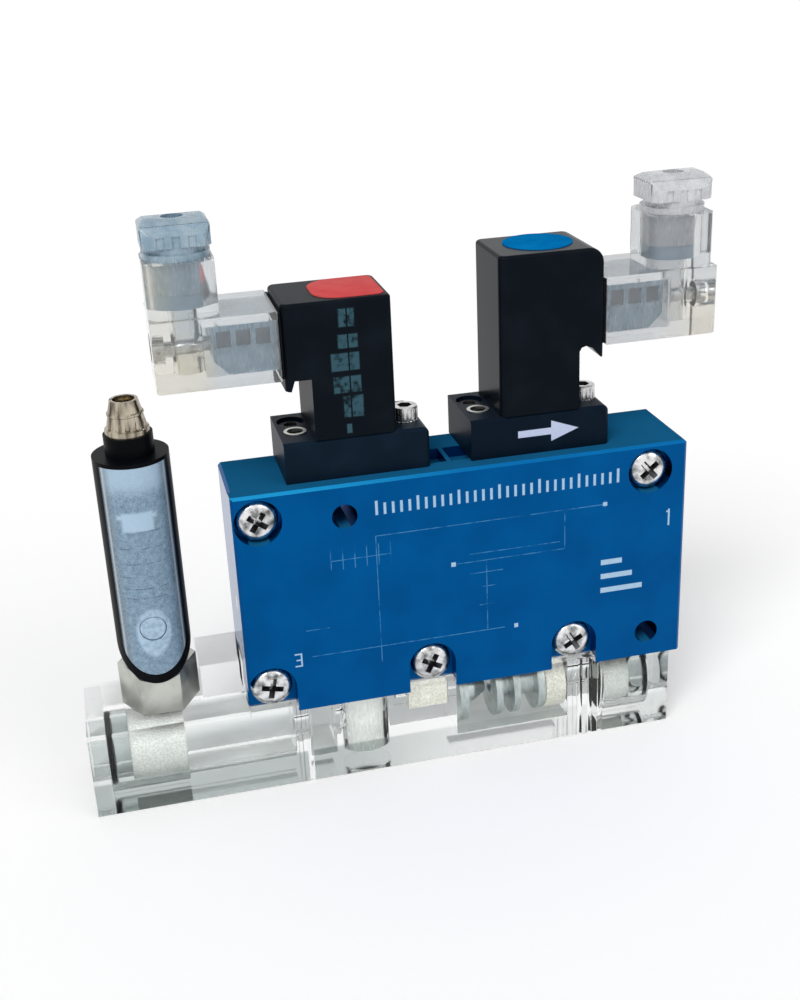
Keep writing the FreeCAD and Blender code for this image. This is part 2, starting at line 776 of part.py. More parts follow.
def make_nozzles():
    """The motive nozzle and the flared receiver behind it, on one axis."""
    motive = new_body("motive_nozzle", d.chamber_start + 0.9, 0, d.nozzle_axis_rise)
    profile = sketch_on(motive, "XZ_Plane")
    flange = d.nozzle_flange_radius
    add_polygon(profile, [
        (0, 1.1), (0, flange), (1.6, flange), (1.6, 3.0), (3.6, 2.6), (6.0, 1.1), (6.0, 0.45),
        (3.2, 0.45),
    ])
    revolve(motive, profile, "H_Axis")
    receiver = new_body("receiver_nozzle", d.chamber_start + 0.9, 0, d.nozzle_axis_rise)
    profile = sketch_on(receiver, "XZ_Plane")
    add_polygon(profile, [
        (7.0, 1.7), (7.0, flange), (8.2, flange), (8.2, 2.6), (10.4, 2.6), (10.4, flange),
        (11.6, flange), (11.6, 2.8), (15.1, 3.0), (15.1, flange), (16.5, flange), (16.5, 2.0),
        (9.0, 1.0),
    ])
    revolve(receiver, profile, "H_Axis")


def make_piston(name, x):
    """A pilot piston in its bore under a solenoid valve, with two lands and a stem."""
    piston = new_body(name + "_piston", x, d.valve_y, BODY_TOP - d.piston_drop - d.piston_length)
    radius = d.piston_radius
    profile = sketch_on(piston, "XZ_Plane")
    add_polygon(profile, [
        (0, 0), (radius - 0.5, 0), (radius, 0.5), (radius, 2.2), (radius * 0.6, 2.6),
        (radius * 0.6, 5.0), (radius, 5.4), (radius, d.piston_length - 0.5),
        (radius - 0.5, d.piston_length), (0, d.piston_length),
    ])
    revolve(piston, profile, "V_Axis")
    floor = BODY_TOP - d.piston_bore_depth
    coil_spring(name + "_piston_spring", x, d.valve_y, floor + 0.05, d.piston_spring_radius,
                d.piston_spring_wire, d.piston_bore_depth - d.piston_drop - d.piston_length - 0.1, 5)


def make_valve_base(name, x, piston_x):
    """The black foot of a solenoid valve with its screw holes, override bore and seal groove."""
    base = new_body(name + "_valve_base", x, d.valve_y, BODY_TOP)
    plan = sketch_on(base, "XY_Plane")
    half = d.valve_base_width / 2
    deep = d.valve_depth / 2
    add_rectangle(plan, -half, -deep, half, deep)
    pad(base, plan, d.valve_base_height)
    height = d.valve_base_height.value
    right = half.value
    front = -deep.value

    def right_top(edge):
        box_ = edge.BoundBox
        return box_.ZMin > height - 0.01 and box_.XMin > right - 0.01

    def front_top(edge):
        box_ = edge.BoundBox
        return box_.ZMin > height - 0.01 and box_.YMax < front + 0.01

    soften(base, "Fillet", 1.2, right_top)
    soften(base, "Chamfer", 0.5, front_top)
    holes = sketch_on(base, "XY_Plane")
    add_circle(holes, d.fixing_x, d.fixing_y, d.fixing_shank_radius + 0.05)
    add_circle(holes, -d.fixing_x, d.fixing_back_y, d.fixing_shank_radius + 0.05)
    add_circle(holes, 0, 0, 1.5)
    pocket(base, holes, 20, symmetric=True)
    sunk = sketch_on(base, "XY_Plane", d.valve_base_height)
    add_circle(sunk, -d.fixing_x, d.fixing_back_y, d.fixing_head_radius + 0.15)
    pocket(base, sunk, d.fixing_head_height + 0.6)
    sleeve = sketch_on(base, "XY_Plane", d.valve_base_height)
    add_circle(sleeve, d.override_x, d.override_y, d.override_sleeve_radius)
    pocket(base, sleeve, d.override_depth)
    below = sketch_on(base, "XY_Plane", d.valve_base_height)
    add_circle(below, d.override_x, d.override_y, d.override_radius + 0.1)
    pocket(base, below, d.override_depth + d.override_travel + 0.6)
    groove = sketch_on(base, "XY_Plane")
    add_circle(groove, piston_x - x, 0, d.seal_outer_radius)
    add_circle(groove, piston_x - x, 0, d.seal_inner_radius)
    pocket(base, groove, d.seal_height, reverse=True)


def make_valve_seals():
    """The two sealing rings that close the piston bores under the valves."""
    group = doc.addObject("Part::Compound", "ValveSeals")
    group.Links = [tube(x, d.valve_y, BODY_TOP, d.seal_outer_radius, d.seal_inner_radius,
                        d.seal_height) for x, _ in PISTONS]
    named(group, "valve_seals")


def make_override(name, x):
    """The push pin of the manual override and the bright sleeve that guides it."""
    place = (x + d.override_x, d.valve_y + d.override_y)
    floor = BODY_TOP + d.valve_base_height - d.override_depth
    sleeve = tube(place[0], place[1], floor, d.override_sleeve_radius,
                  d.override_radius + 0.08, d.override_depth + 0.15)
    named(sleeve, name + "_override_sleeve")
    pin = new_body(name + "_override_pin", place[0], place[1], floor + 0.2)
    profile = sketch_on(pin, "XZ_Plane")
    radius = d.override_radius
    add_polygon(profile, [(0, 0), (radius, 0), (radius, 3.4), (radius - 0.3, 3.7), (0, 3.7)])
    revolve(pin, profile, "V_Axis")
    slot = sketch_on(pin, "XY_Plane", 3.7)
    add_rectangle(slot, -1.0, -0.25, 1.0, 0.25)
    pocket(pin, slot, 0.4)


def make_fixing_screws(name, x):
    """Two socket head screws, one standing at the right and one sunk at the back left."""
    shapes = []
    spots = (
        (x + d.fixing_x, d.valve_y + d.fixing_y, BODY_TOP + d.valve_base_height),
        (x - d.fixing_x, d.valve_y + d.fixing_back_y,
         BODY_TOP + d.valve_base_height - d.fixing_head_height - 0.6),
    )
    for spot_x, spot_y, seat in spots:
        head = cylinder(spot_x, spot_y, seat, d.fixing_head_radius, d.fixing_head_height)
        reach = seat - BODY_TOP + d.fixing_grip
        shank = cylinder(spot_x, spot_y, seat - reach, d.fixing_shank_radius, reach)
        key = doc.addObject("Part::Prism", "Key")
        key.Polygon = 6
        bind(key, "Circumradius", d.fixing_head_radius * 0.5)
        bind(key, "Height", 1.6)
        bind(key, "Placement.Base.x", spot_x)
        bind(key, "Placement.Base.y", spot_y)
        bind(key, "Placement.Base.z", seat + d.fixing_head_height - 1.4)
        shapes.append(less(joined(head, shank), key))
    group = doc.addObject("Part::Compound", "FixingScrews")
    group.Links = shapes
    named(group, name + "_valve_screws")


def colour_plate_outline(name, sketch):
    """The plan of the coloured plate: a rounded rectangle on one coil and a disc on the other."""
    if name == "supply":
        half = d.red_plate_depth / 2
        add_rectangle(sketch, d.red_plate_left, -half, d.red_plate_right, half)
    else:
        add_circle(sketch, d.blue_plate_x, d.blue_plate_y, d.blue_plate_radius)


def round_plate_corners(body, low, high):
    """Rounds the red plate's outline, more at its left end than at its right."""
    def at(x):
        return lambda e: (is_upright(e, 0.3) and abs(e.BoundBox.XMin - x) < 0.01
                          and low - 0.01 < e.BoundBox.ZMin and e.BoundBox.ZMax < high + 0.01)

    soften(body, "Fillet", 4.6, at(d.red_plate_left.value))
    soften(body, "Fillet", 1.4, at(d.red_plate_right.value))


def make_coil(name, x, side, height):
    """The black coil tower with the overhang that carries the plug."""
    coil = new_body(name + "_coil", x, d.valve_y, BODY_TOP)
    outline = sketch_on(coil, "XZ_Plane")
    half = d.tower_half
    reach = d.overhang_reach
    if side > 0:
        underside = [
            (half, d.overhang_rise - 0.5), (half + 0.4, d.overhang_rise + 0.2),
            (half + 1.2, d.overhang_rise + 0.4), (half + 2.2, d.overhang_rise),
            (half + 3.2, d.lip_rise + 0.7), (reach - 0.5, d.lip_rise), (reach, d.lip_rise),
        ]
    else:
        underside = [
            (-half, d.overhang_rise), (d.lip_thickness - reach, d.overhang_rise),
            (d.lip_thickness * 0.6 - reach, d.lip_rise), (-reach, d.lip_rise),
        ]
    add_polygon(outline, [
        (-side * half, d.valve_base_height), (side * half, d.valve_base_height), *underside,
        (side * reach, height), (-side * half, height),
    ])
    pad(coil, outline, d.valve_depth, symmetric=True)
    top = Dim.of(height).value
    back = d.valve_depth.value / 2
    outer = reach.value

    def corner(edge):
        return is_upright(edge) and edge.BoundBox.ZMax > top - 0.01

    def rim(edge):
        box_ = edge.BoundBox
        return box_.ZMin > top - 0.01 and box_.YMin < back - 0.01

    def shoulder(edge):
        box_ = edge.BoundBox
        return box_.ZMin > top - 0.01 and box_.XMin > outer - 0.01

    if side > 0:
        soften(coil, "Fillet", d.right_corner_radius, shoulder)
    soften(coil, "Fillet", 1.3, corner)
    soften(coil, "Fillet", 0.6, rim)
    bore = sketch_on(coil, "XY_Plane", d.valve_base_height)
    add_circle(bore, 0, 0, d.plunger_bore_radius)
    pocket(coil, bore, d.plunger_length + d.plunger_travel + 0.8, reverse=True)
    thread = sketch_on(coil, "YZ_Plane", side * reach)
    add_circle(thread, 0, d.plug_screw_rise, d.plug_screw_radius + 0.05)
    pocket(coil, thread, d.plug_screw_grip + 0.3, reverse=side < 0)
    dish = sketch_on(coil, "XY_Plane", height)
    colour_plate_outline(name, dish)
    pocket(coil, dish, d.plate_sunk)
    if name == "supply":
        round_plate_corners(coil, top - 0.41, top)


def make_colour_plate(name, x, height):
    """The coloured plate let into the top of a coil, red or blue by its valve."""
    plate = new_body(name + "_colour_disc", x, d.valve_y, BODY_TOP)
    plan = sketch_on(plate, "XY_Plane", height - d.plate_sunk)
    colour_plate_outline(name, plan)
    pad(plate, plan, d.plate_thickness)
    low = (Dim.of(height) - d.plate_sunk).value
    if name == "supply":
        round_plate_corners(plate, low, low + d.plate_thickness.value)


def make_plunger(name, x):
    plunger = new_body(name + "_plunger", x, d.valve_y, BODY_TOP + d.valve_base_height + 0.3)
    profile = sketch_on(plunger, "XZ_Plane")
    radius = d.plunger_radius
    add_polygon(profile, [
        (0, 0), (1.2, 0), (1.5, 0.5), (radius, 0.5), (radius, d.plunger_length - 0.4),
        (radius - 0.4, d.plunger_length), (1.75, d.plunger_length),
        (1.75, d.plunger_length - d.plunger_recess), (0, d.plunger_length - d.plunger_recess),
    ])
    revolve(plunger, profile, "V_Axis")
    foot = BODY_TOP + d.valve_base_height + 0.3 + d.plunger_length - d.plunger_recess
    ceiling = BODY_TOP + d.valve_base_height + d.plunger_length + d.plunger_travel + 0.8
    coil_spring(name + "_plunger_spring", x, d.valve_y, foot + 0.05, d.plunger_spring_radius,
                d.plunger_spring_wire, ceiling - foot - 0.1, 5)


def make_plug_housing(name, x, side):
    """The clear elbow of a plug: an arm against the coil and a neck for the cable gland."""
    body = new_body(name + "_plug_housing", x + side * d.overhang_reach, d.valve_y, BODY_TOP)
    arm = sketch_on(body, "XZ_Plane")
    add_rectangle(arm, side * d.plug_gasket, d.plug_underside, side * d.plug_reach, d.plug_top)
    pad(body, arm, d.valve_depth, symmetric=True)
    outer = abs((side * d.plug_reach).value)
    soften(body, "Fillet", 1.0, lambda e: is_upright(e) and abs(e.BoundBox.XMax) > outer - 0.01)
    neck_x = side * (d.plug_reach - d.neck_width / 2)
    neck = sketch_on(body, "XY_Plane", d.plug_top - 1)
    half = d.neck_width / 2
    add_rectangle(neck, neck_x - half, -d.neck_depth / 2, neck_x + half, d.neck_depth / 2)
    pad(body, neck, d.neck_top - d.plug_top + 1)
    floor = d.plug_top.value
    soften(body, "Fillet", d.neck_corner, lambda e: is_upright(e) and e.BoundBox.ZMin > floor - 0.01)
    room = sketch_on(body, "YZ_Plane", side * d.plug_gasket)
    wide = d.valve_depth / 2 - d.plug_wall
    add_rectangle(room, -wide, d.plug_underside + d.plug_wall, wide, d.plug_top - d.plug_wall)
    pocket(body, room, d.carrier_length + 1.0, reverse=side > 0)
    bore = sketch_on(body, "XY_Plane", d.neck_top)
    add_circle(bore, neck_x, 0, d.neck_bore_radius)
    pocket(body, bore, d.neck_top - d.neck_bore_floor)
    wires = sketch_on(body, "XY_Plane", d.neck_top)
    add_circle(wires, neck_x, 0, d.wire_bore_radius)
    pocket(body, wires, d.neck_top - d.plug_underside - d.plug_wall)
    mouth = sketch_on(body, "YZ_Plane", side * (d.plug_gasket + d.carrier_length))
    add_circle(mouth, 0, d.plug_screw_rise, d.wire_bore_radius - 0.3)
    pocket(body, mouth, 4.5, reverse=side > 0)
    for radius, depth in ((d.plug_screw_radius + 0.15, d.plug_reach - d.plug_gasket),
                          (d.plug_screw_head_radius + 0.2,
                           d.plug_screw_head_height + d.plug_screw_sunk)):
        eye = sketch_on(body, "YZ_Plane", side * d.plug_reach)
        add_circle(eye, 0, d.plug_screw_rise, radius)
        pocket(body, eye, depth, reverse=side < 0)


def make_plug_inside(name, x, side):
    """The terminal carrier of a plug, its three terminals and the flat gasket behind them."""
    start = x + side * (d.overhang_reach + d.plug_gasket)
    carrier = new_body(name + "_terminal_carrier", start, d.valve_y, BODY_TOP)
    section = sketch_on(carrier, "XZ_Plane")
    low = d.plug_underside + d.plug_wall + 0.1
    high = d.plug_top - d.plug_wall - 0.1
    length = d.carrier_length - 0.4
    add_polygon(section, [
        (0, low), (side * (length - 2.4), low), (side * length, low + 2.4), (side * length, high),
        (0, high),
    ])
    deep = d.valve_depth / 2 - d.plug_wall - 0.1
    pad(carrier, section, 2 * deep, symmetric=True)
    windows = sketch_on(carrier, "XZ_Plane", deep)
    for slot in range(3):
        left = 1.2 + 3.2 * slot
        edges = sorted((side * left, side * (left + 2.3)))
        add_rectangle(windows, edges[0], high - 3.6, edges[1], high - 0.9)
    pocket(carrier, windows, 1.6)
    eye = sketch_on(carrier, "YZ_Plane")
    add_circle(eye, 0, d.plug_screw_rise, d.plug_screw_radius + 0.15)
    pocket(carrier, eye, 30, symmetric=True)
    blades = []
    for slot in range(3):
        left = 1.3 + 3.2 * slot
        low_x = start + min(side * left, side * (left + 2.1))
        blades.append(box(low_x, d.valve_y - deep + 0.5, BODY_TOP + high - 3.5, 2.1, 1.1, 2.5))
    group = doc.addObject("Part::Compound", "Terminals")
    group.Links = blades
    named(group, name + "_terminals")
    left_face = x + (side * d.overhang_reach if side > 0 else -d.overhang_reach - d.plug_gasket)
    gasket = box(left_face, d.valve_y - d.valve_depth / 2 + 0.3, BODY_TOP + d.plug_underside + 0.3,
                 d.plug_gasket, d.valve_depth - 0.6, d.plug_top - d.plug_underside - 0.6)
    eye = cylinder(left_face - 1, d.valve_y, BODY_TOP + d.plug_screw_rise, d.plug_screw_radius + 0.15,
                   3, "x")
    named(less(gasket, eye), name + "_plug_gasket")


def make_plug_screws():
    """The long slotted screws that hold the two plugs on their coils."""
    shapes = []
    for name, x, side, *_ in VALVES:
        seat = x + side * (d.overhang_reach + d.plug_reach - d.plug_screw_head_height
                           - d.plug_screw_sunk)
        tip = x + side * (d.overhang_reach - d.plug_screw_grip)
        height = BODY_TOP + d.plug_screw_rise
        start, length = (tip, seat - tip) if side > 0 else (seat, tip - seat)
        shank = cylinder(start, d.valve_y, height, d.plug_screw_radius, length, "x")
        head_start = seat if side > 0 else seat - d.plug_screw_head_height
        head = cylinder(head_start, d.valve_y, height, d.plug_screw_head_radius,
                        d.plug_screw_head_height, "x")
        slot_start = seat + 0.8 if side > 0 else seat - 2.0
        slot = box(slot_start, d.valve_y - 3, height - 0.3, 1.2, 6, 0.6)
        shapes.append(less(joined(shank, head), slot))
    group = doc.addObject("Part::Compound", "PlugScrews")
    group.Links = shapes
    named(group, "plug_screws")


def make_gland_head(nut):
    """The broad head of a gland nut, crowned on top, with cut corners and grips on its two faces."""
    wide = d.gland_head_width / 2
    deep = d.gland_head_depth / 2
    cut = d.gland_head_corner
    low = d.gland_head_base
    top = d.gland_head_top
    plan = sketch_on(nut, "XY_Plane", low)
    add_polygon(plan, [
        (cut - wide, -deep), (wide - cut, -deep), (wide, cut - deep), (wide, deep - cut),
        (wide - cut, deep), (cut - wide, deep), (-wide, deep - cut), (-wide, cut - deep),
    ])
    pad(nut, plan, top - low)
    ends = wide.value - 0.01
    high = top.value - 0.01
    soften(nut, "Chamfer", 0.8, lambda e: e.BoundBox.ZMin > high and (
        e.BoundBox.XMin > ends or e.BoundBox.XMax < -ends))
    for face in (-1, 1):
        crown = sketch_on(nut, "YZ_Plane")
        add_polygon(crown, [
            (face * (deep + 0.2), top - 2.5), (face * deep, top - 2.2), (face * (deep - 1.1), top - 0.9),
            (face * (deep - 3.0), top), (face * (deep - 3.0), top + 0.2), (face * (deep + 0.2), top + 0.2),
        ])
        pocket(nut, crown, d.gland_head_width + 2, symmetric=True)
        grips = sketch_on(nut, "XY_Plane", low)
        outer, inner = face * deep, face * (deep - d.gland_grip_depth)
        front, rear = (outer, inner) if face < 0 else (inner, outer)
        for step in (-1, 0, 1):
            left = step * d.gland_grip_pitch - d.gland_grip_width / 2
            add_rectangle(grips, left, front, left + d.gland_grip_width, rear)
        pocket(nut, grips, top - low - 2.4, reverse=True)
    hole = sketch_on(nut, "XY_Plane", top)
    add_circle(hole, 0, 0, d.cable_radius)
    pocket(nut, hole, top - low + 0.1)


def make_gland(name, x, side):
    """The gland nut that screws into the neck and the rubber sleeve that it squeezes."""
    neck_x = x + side * (d.overhang_reach + d.plug_reach - d.neck_width / 2)
    nut = new_body(name + "_gland_nut", neck_x, d.valve_y, BODY_TOP)
    profile = sketch_on(nut, "XZ_Plane")
    seat = d.neck_top + 0.05
    rim = seat + d.gland_flange_height
    add_polygon(profile, [
        (d.cable_radius, d.gland_skirt_base), (d.gland_skirt_radius, d.gland_skirt_base),
        (d.gland_skirt_radius, seat), (d.gland_flange_radius, seat), (d.gland_flange_radius, rim),
        (d.gland_collar_radius, rim), (d.gland_collar_radius, d.gland_head_base),
        (d.cable_radius, d.gland_head_base),
    ])
    revolve(nut, profile, "V_Axis")
    make_gland_head(nut)
    sleeve = tube(neck_x, d.valve_y, BODY_TOP + d.neck_bore_floor + 0.02,
                  d.neck_bore_radius - 0.1, d.cable_radius,
                  d.gland_skirt_base - d.neck_bore_floor - 0.1)
    named(sleeve, name + "_gland_sleeve")


def make_switch_fitting():
    """The hexagonal fitting of the vacuum switch, with a saddle for the switch's round foot."""
    base = STEP_TOP + d.washer_thickness
    hexagon = doc.addObject("Part::Prism", "Hexagon")
    hexagon.Polygon = 6
    bind(hexagon, "Circumradius", d.hex_flats / math.sqrt(3.0))
    bind(hexagon, "Height", d.hex_height - d.washer_thickness)
    bind(hexagon, "Placement.Base.x", d.switch_x)
    bind(hexagon, "Placement.Base.z", base)
    saddle_z = d.switch_nose + d.switch_radius
    saddle = cylinder(d.switch_x, -10, saddle_z, d.switch_radius + 0.02, 20, "y")
    stud = cylinder(d.switch_x, 0, STEP_TOP - d.stud_length, d.stud_radius, 4)
    spigot = cylinder(d.switch_x, 0, base + 3, 3.0, 9.5)
    bore = cylinder(d.switch_x, 0, STEP_TOP - d.stud_length - 1, 1.0, 24)
    fitting = less(joined(less(hexagon, saddle), stud, spigot), bore)
    named(fitting, "switch_fitting")
    washer = tube(d.switch_x, 0, STEP_TOP, 5.2, d.stud_radius + 0.1, d.washer_thickness)
    named(washer, "switch_washer")


def arch(radius, round_z, top, y_low, y_high):
    """A slab with a half round lower end, seen from the front as the letter U."""
    disc = cylinder(d.switch_x, y_low, round_z, radius, y_high - y_low, "y")
    slab = box(d.switch_x - radius, y_low, round_z, 2 * radius, y_high - y_low, top - round_z)
    return joined(disc, slab)


def make_switch_body():
    """The black body of the vacuum switch, round in plan and rounded at its foot."""
    radius = d.switch_radius
    round_z = d.switch_nose + radius
    stem = cylinder(d.switch_x, 0, d.switch_nose - 1, radius, d.switch_top - d.switch_nose + 1)
    shell = shared(stem, arch(radius, round_z, d.switch_top, -8, 8))
    gap = 0.03
    opening = arch(d.window_radius + gap, d.window_round_height, d.window_top + gap, -9, -2.6)
    hollow = cylinder(d.switch_x, 0, 31.0, radius - d.switch_wall, 31.0)
    socket = cylinder(d.switch_x, 0, 20.0, 3.05, 11.0)
    named(less(shell, opening, hollow, socket), "switch_body")


def make_switch_window():
    """The frosted window that wraps round the front of the switch, with the button's hole."""
    radius = d.switch_radius
    ring = tube(d.switch_x, 0, 20, radius - 0.05, radius - d.switch_wall, 45)
    front = arch(d.window_radius, d.window_round_height, d.window_top, -8, -2.65)
    hole = cylinder(d.switch_x, -8, d.set_button_height, d.set_button_radius + 0.1, 6, "y")
    named(less(shared(ring, front), hole), "switch_window")
    button = new_body("set_button", d.switch_x, 0, d.set_button_height)
    face = sketch_on(button, "XZ_Plane", radius - 0.15)
    add_circle(face, 0, 0, d.set_button_radius)
    pad(button, face, 2.2, reverse=True)
    soften(button, "Fillet", 0.35, lambda e: e.BoundBox.YMax < -(radius.value - 0.2))


def make_switch_inside():
    """The circuit board behind the window with its display and the tongue that holds it."""
    board = box(d.switch_x - 4.0, -0.6, 32.0, 8.0, 1.2, 29.5)
    display = box(d.switch_x - 2.6, -2.6, 48.5, 5.2, 2.0, 7.5)
    chip = box(d.switch_x - 2.2, -2.0, 39.5, 4.4, 1.4, 5.0)
    named(joined(board, display, chip), "switch_board")


def make_switch_socket():
    """The black collar, the ribbed metal plug socket and its three contact pins."""
    collar = tube(d.switch_x, 0, d.switch_top, d.collar_radius, 2.0, d.collar_height)
    named(collar, "switch_collar")
    base = d.switch_top + d.collar_height
    socket = new_body("switch_socket", d.switch_x, 0, base)
    foot = d.socket_foot_radius
    tall = d.socket_height
    low = d.socket_base_radius
    high = d.socket_top_radius
    profile = sketch_on(socket, "XZ_Plane")
    add_polygon(profile, [
        (0, 0), (foot, 0), (foot, 0.9), (low, 1.1), (low * 0.55 + high * 0.45, tall * 0.55),
        (low * 0.55 + high * 0.45 + 0.2, tall * 0.58), (low * 0.5 + high * 0.5 + 0.2, tall * 0.63),
        (low * 0.45 + high * 0.55, tall * 0.66), (high, tall), (high - 0.5, tall),
        (high - 0.5, 1.4), (0, 1.4),
    ])
    revolve(socket, profile, "V_Axis")
    rib = sketch_on(socket, "XY_Plane", tall)
    add_circle(rib, low + 0.1, 0, 0.42)
    flute = pocket(socket, rib, tall - 1.1)
    polar_copies(socket, rib, flute, 12)
    pins = []
    for angle in (90, 210, 330):
        turn = math.radians(angle)
        pin = cylinder(d.switch_x + 1.0 * math.cos(turn), 1.0 * math.sin(turn), base + 1.4, 0.28, 3.4)
        pins.append(pin)
    group = doc.addObject("Part::Compound", "Pins")
    group.Links = pins
    named(group, "switch_pins")


def make_valve(name, x, side, height, piston_x):
    make_valve_base(name, x, piston_x)
    make_override(name, x)
    make_fixing_screws(name, x)
    make_coil(name, x, side, height)
    make_colour_plate(name, x, height)
    make_plunger(name, x)
    make_piston(name, piston_x)
    make_plug_housing(name, x, side)
    make_plug_inside(name, x, side)
    make_gland(name, x, side)


def make_all():
    make_ejector_body()
    make_channel_plug()
    make_body_screws()
    make_clear_housing()
    make_end_cap("left_end_cap", HOUSING_LEFT - d.cap_thickness, -1, STEP_TOP)
    make_end_cap("right_end_cap", HOUSING_RIGHT + d.cap_thickness, 1, d.base_height)
    ring_inset = d.groove_width / 2
    make_o_ring("left_o_ring", HOUSING_LEFT + ring_inset)
    make_o_ring("right_o_ring", HOUSING_RIGHT - ring_inset)
    make_filter_and_silencer()
    make_felt_and_diffuser()
    make_check_valve()
    make_nozzles()
    make_valve_seals()
    for valve in VALVES:
        make_valve(*valve)
    make_plug_screws()
    make_switch_fitting()
    make_switch_body()
    make_switch_window()
    make_switch_inside()
    make_switch_socket()


def check_and_export():
    """Stops on any failed object, then writes each sub-part to its own file."""
    doc.recompute()
    faults = [item.Name for item in doc.Objects
              if "Invalid" in item.State or "Error" in item.State]
    if faults:
        raise RuntimeError("failed objects: %s" % ", ".join(faults))
    for item in parts:
        if item.Shape.isNull() or not item.Shape.isValid() or not item.Shape.Solids:
            raise RuntimeError("bad shape: %s" % item.Label)
    os.makedirs("parts", exist_ok=True)
    for item in parts:
        item.Shape.exportStep("parts/%s.step" % item.Label)


make_all()
check_and_export()
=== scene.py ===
"""Shows the vacuum generator: its finishes, its fine pieces, and the photograph's view."""

import logging
import math
from dataclasses import dataclass
from enum import Enum
from typing import Any, Callable, Dict, Iterable, List, Optional, Sequence, Tuple, Union

import bmesh
import bpy
from mathutils import Matrix, Vector


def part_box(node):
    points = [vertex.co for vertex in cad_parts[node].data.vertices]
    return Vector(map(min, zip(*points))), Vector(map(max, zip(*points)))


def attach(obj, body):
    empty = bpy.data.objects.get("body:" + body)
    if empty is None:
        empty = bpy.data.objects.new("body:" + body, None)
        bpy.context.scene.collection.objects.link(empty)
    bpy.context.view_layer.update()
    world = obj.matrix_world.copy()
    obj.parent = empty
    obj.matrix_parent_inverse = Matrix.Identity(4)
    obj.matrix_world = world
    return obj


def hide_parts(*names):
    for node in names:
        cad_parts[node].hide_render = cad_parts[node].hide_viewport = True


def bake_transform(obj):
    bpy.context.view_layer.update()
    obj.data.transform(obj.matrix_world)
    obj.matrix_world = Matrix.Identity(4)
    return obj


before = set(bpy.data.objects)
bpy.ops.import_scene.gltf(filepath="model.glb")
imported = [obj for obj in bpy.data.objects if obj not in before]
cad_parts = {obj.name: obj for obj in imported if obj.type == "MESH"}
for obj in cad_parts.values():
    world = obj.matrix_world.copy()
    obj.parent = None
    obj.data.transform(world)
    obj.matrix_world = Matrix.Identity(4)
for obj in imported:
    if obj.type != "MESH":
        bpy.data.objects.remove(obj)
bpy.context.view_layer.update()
MM = 0.001
# A direction lies along an axis when its share of it is greater than this.
STRAIGHT = 0.9
# Points lie in one plane when they are nearer to it than this, in millimetres.
NEAR = 0.01

Point = Tuple[float, float, float]
Colour = Tuple[float, float, float]
Looks = Dict[str, Any]

log = logging.getLogger("vacuum_generator")


def srgb(*levels: int) -> Colour:
    """Gives the scene-linear colour of an 8 bit display colour, by undoing the display's curve.

    Args:
        *levels: Red, green and blue, from 0 to 255.

    Returns:
        The three linear values.
    """
    shares = (level / 255.0 for level in levels)
    return tuple(share / 12.92 if share <= 0.04045 else ((share + 0.055) / 1.055) ** 2.4
                 for share in shares)


def grey(level: float) -> Colour:
    """Gives an even grey from a linear level."""
    return level, level, level


def _operator(operation: str, reflected: bool = False) -> Callable[["Value", "Operand"], "Value"]:
    """Makes one of Value's operators.

    Args:
        operation: The Math node's operation.
        reflected: Whether the value stands right of the sign.

    Returns:
        The operator's method.
    """
    def apply(value: "Value", other: "Operand") -> "Value":
        """Adds the Math node, with its operands as they are written."""
        return value.maths(operation, *((other, value) if reflected else (value, other)))

    return apply


class Value:
    """A number, colour or vector that a shader node gives, with arithmetic written as in Python.

    The sign | takes the greater of two values, which joins masks, and & takes the lesser.
    """

    def __init__(self, sheet: "NodeSheet", socket: bpy.types.NodeSocket) -> None:
        """Keeps the node tree and the socket."""
        self.sheet = sheet
        self.socket = socket

    def maths(self, operation: str, *operands: "Operand") -> "Value":
        """Adds one Math node and returns its result."""
        return self.sheet.add("ShaderNodeMath", {"operation": operation}, dict(enumerate(operands)))

    def __abs__(self) -> "Value":
        """Drops the sign."""
        return self.maths("ABSOLUTE", self)

    __add__ = _operator("ADD")
    __radd__ = _operator("ADD", reflected=True)
    __sub__ = _operator("SUBTRACT")
    __rsub__ = _operator("SUBTRACT", reflected=True)
    __mul__ = _operator("MULTIPLY")
    __rmul__ = _operator("MULTIPLY", reflected=True)
    __truediv__ = _operator("DIVIDE")
    __pow__ = _operator("POWER")
    __lt__ = _operator("LESS_THAN")
    __gt__ = _operator("GREATER_THAN")
    __or__ = _operator("MAXIMUM")
    __and__ = _operator("MINIMUM")

    def ease(self, low: float, high: float) -> "Value":
        """Rises smoothly from 0 to 1 as this goes from low to high."""
        return self.sheet.add("ShaderNodeMapRange",
                              {"interpolation_type": "SMOOTHSTEP", "clamp": True},
                              {"Value": self, "From Min": low, "From Max": high})


Operand = Union[Value, int, float]
Paint = Union[Value, Colour]


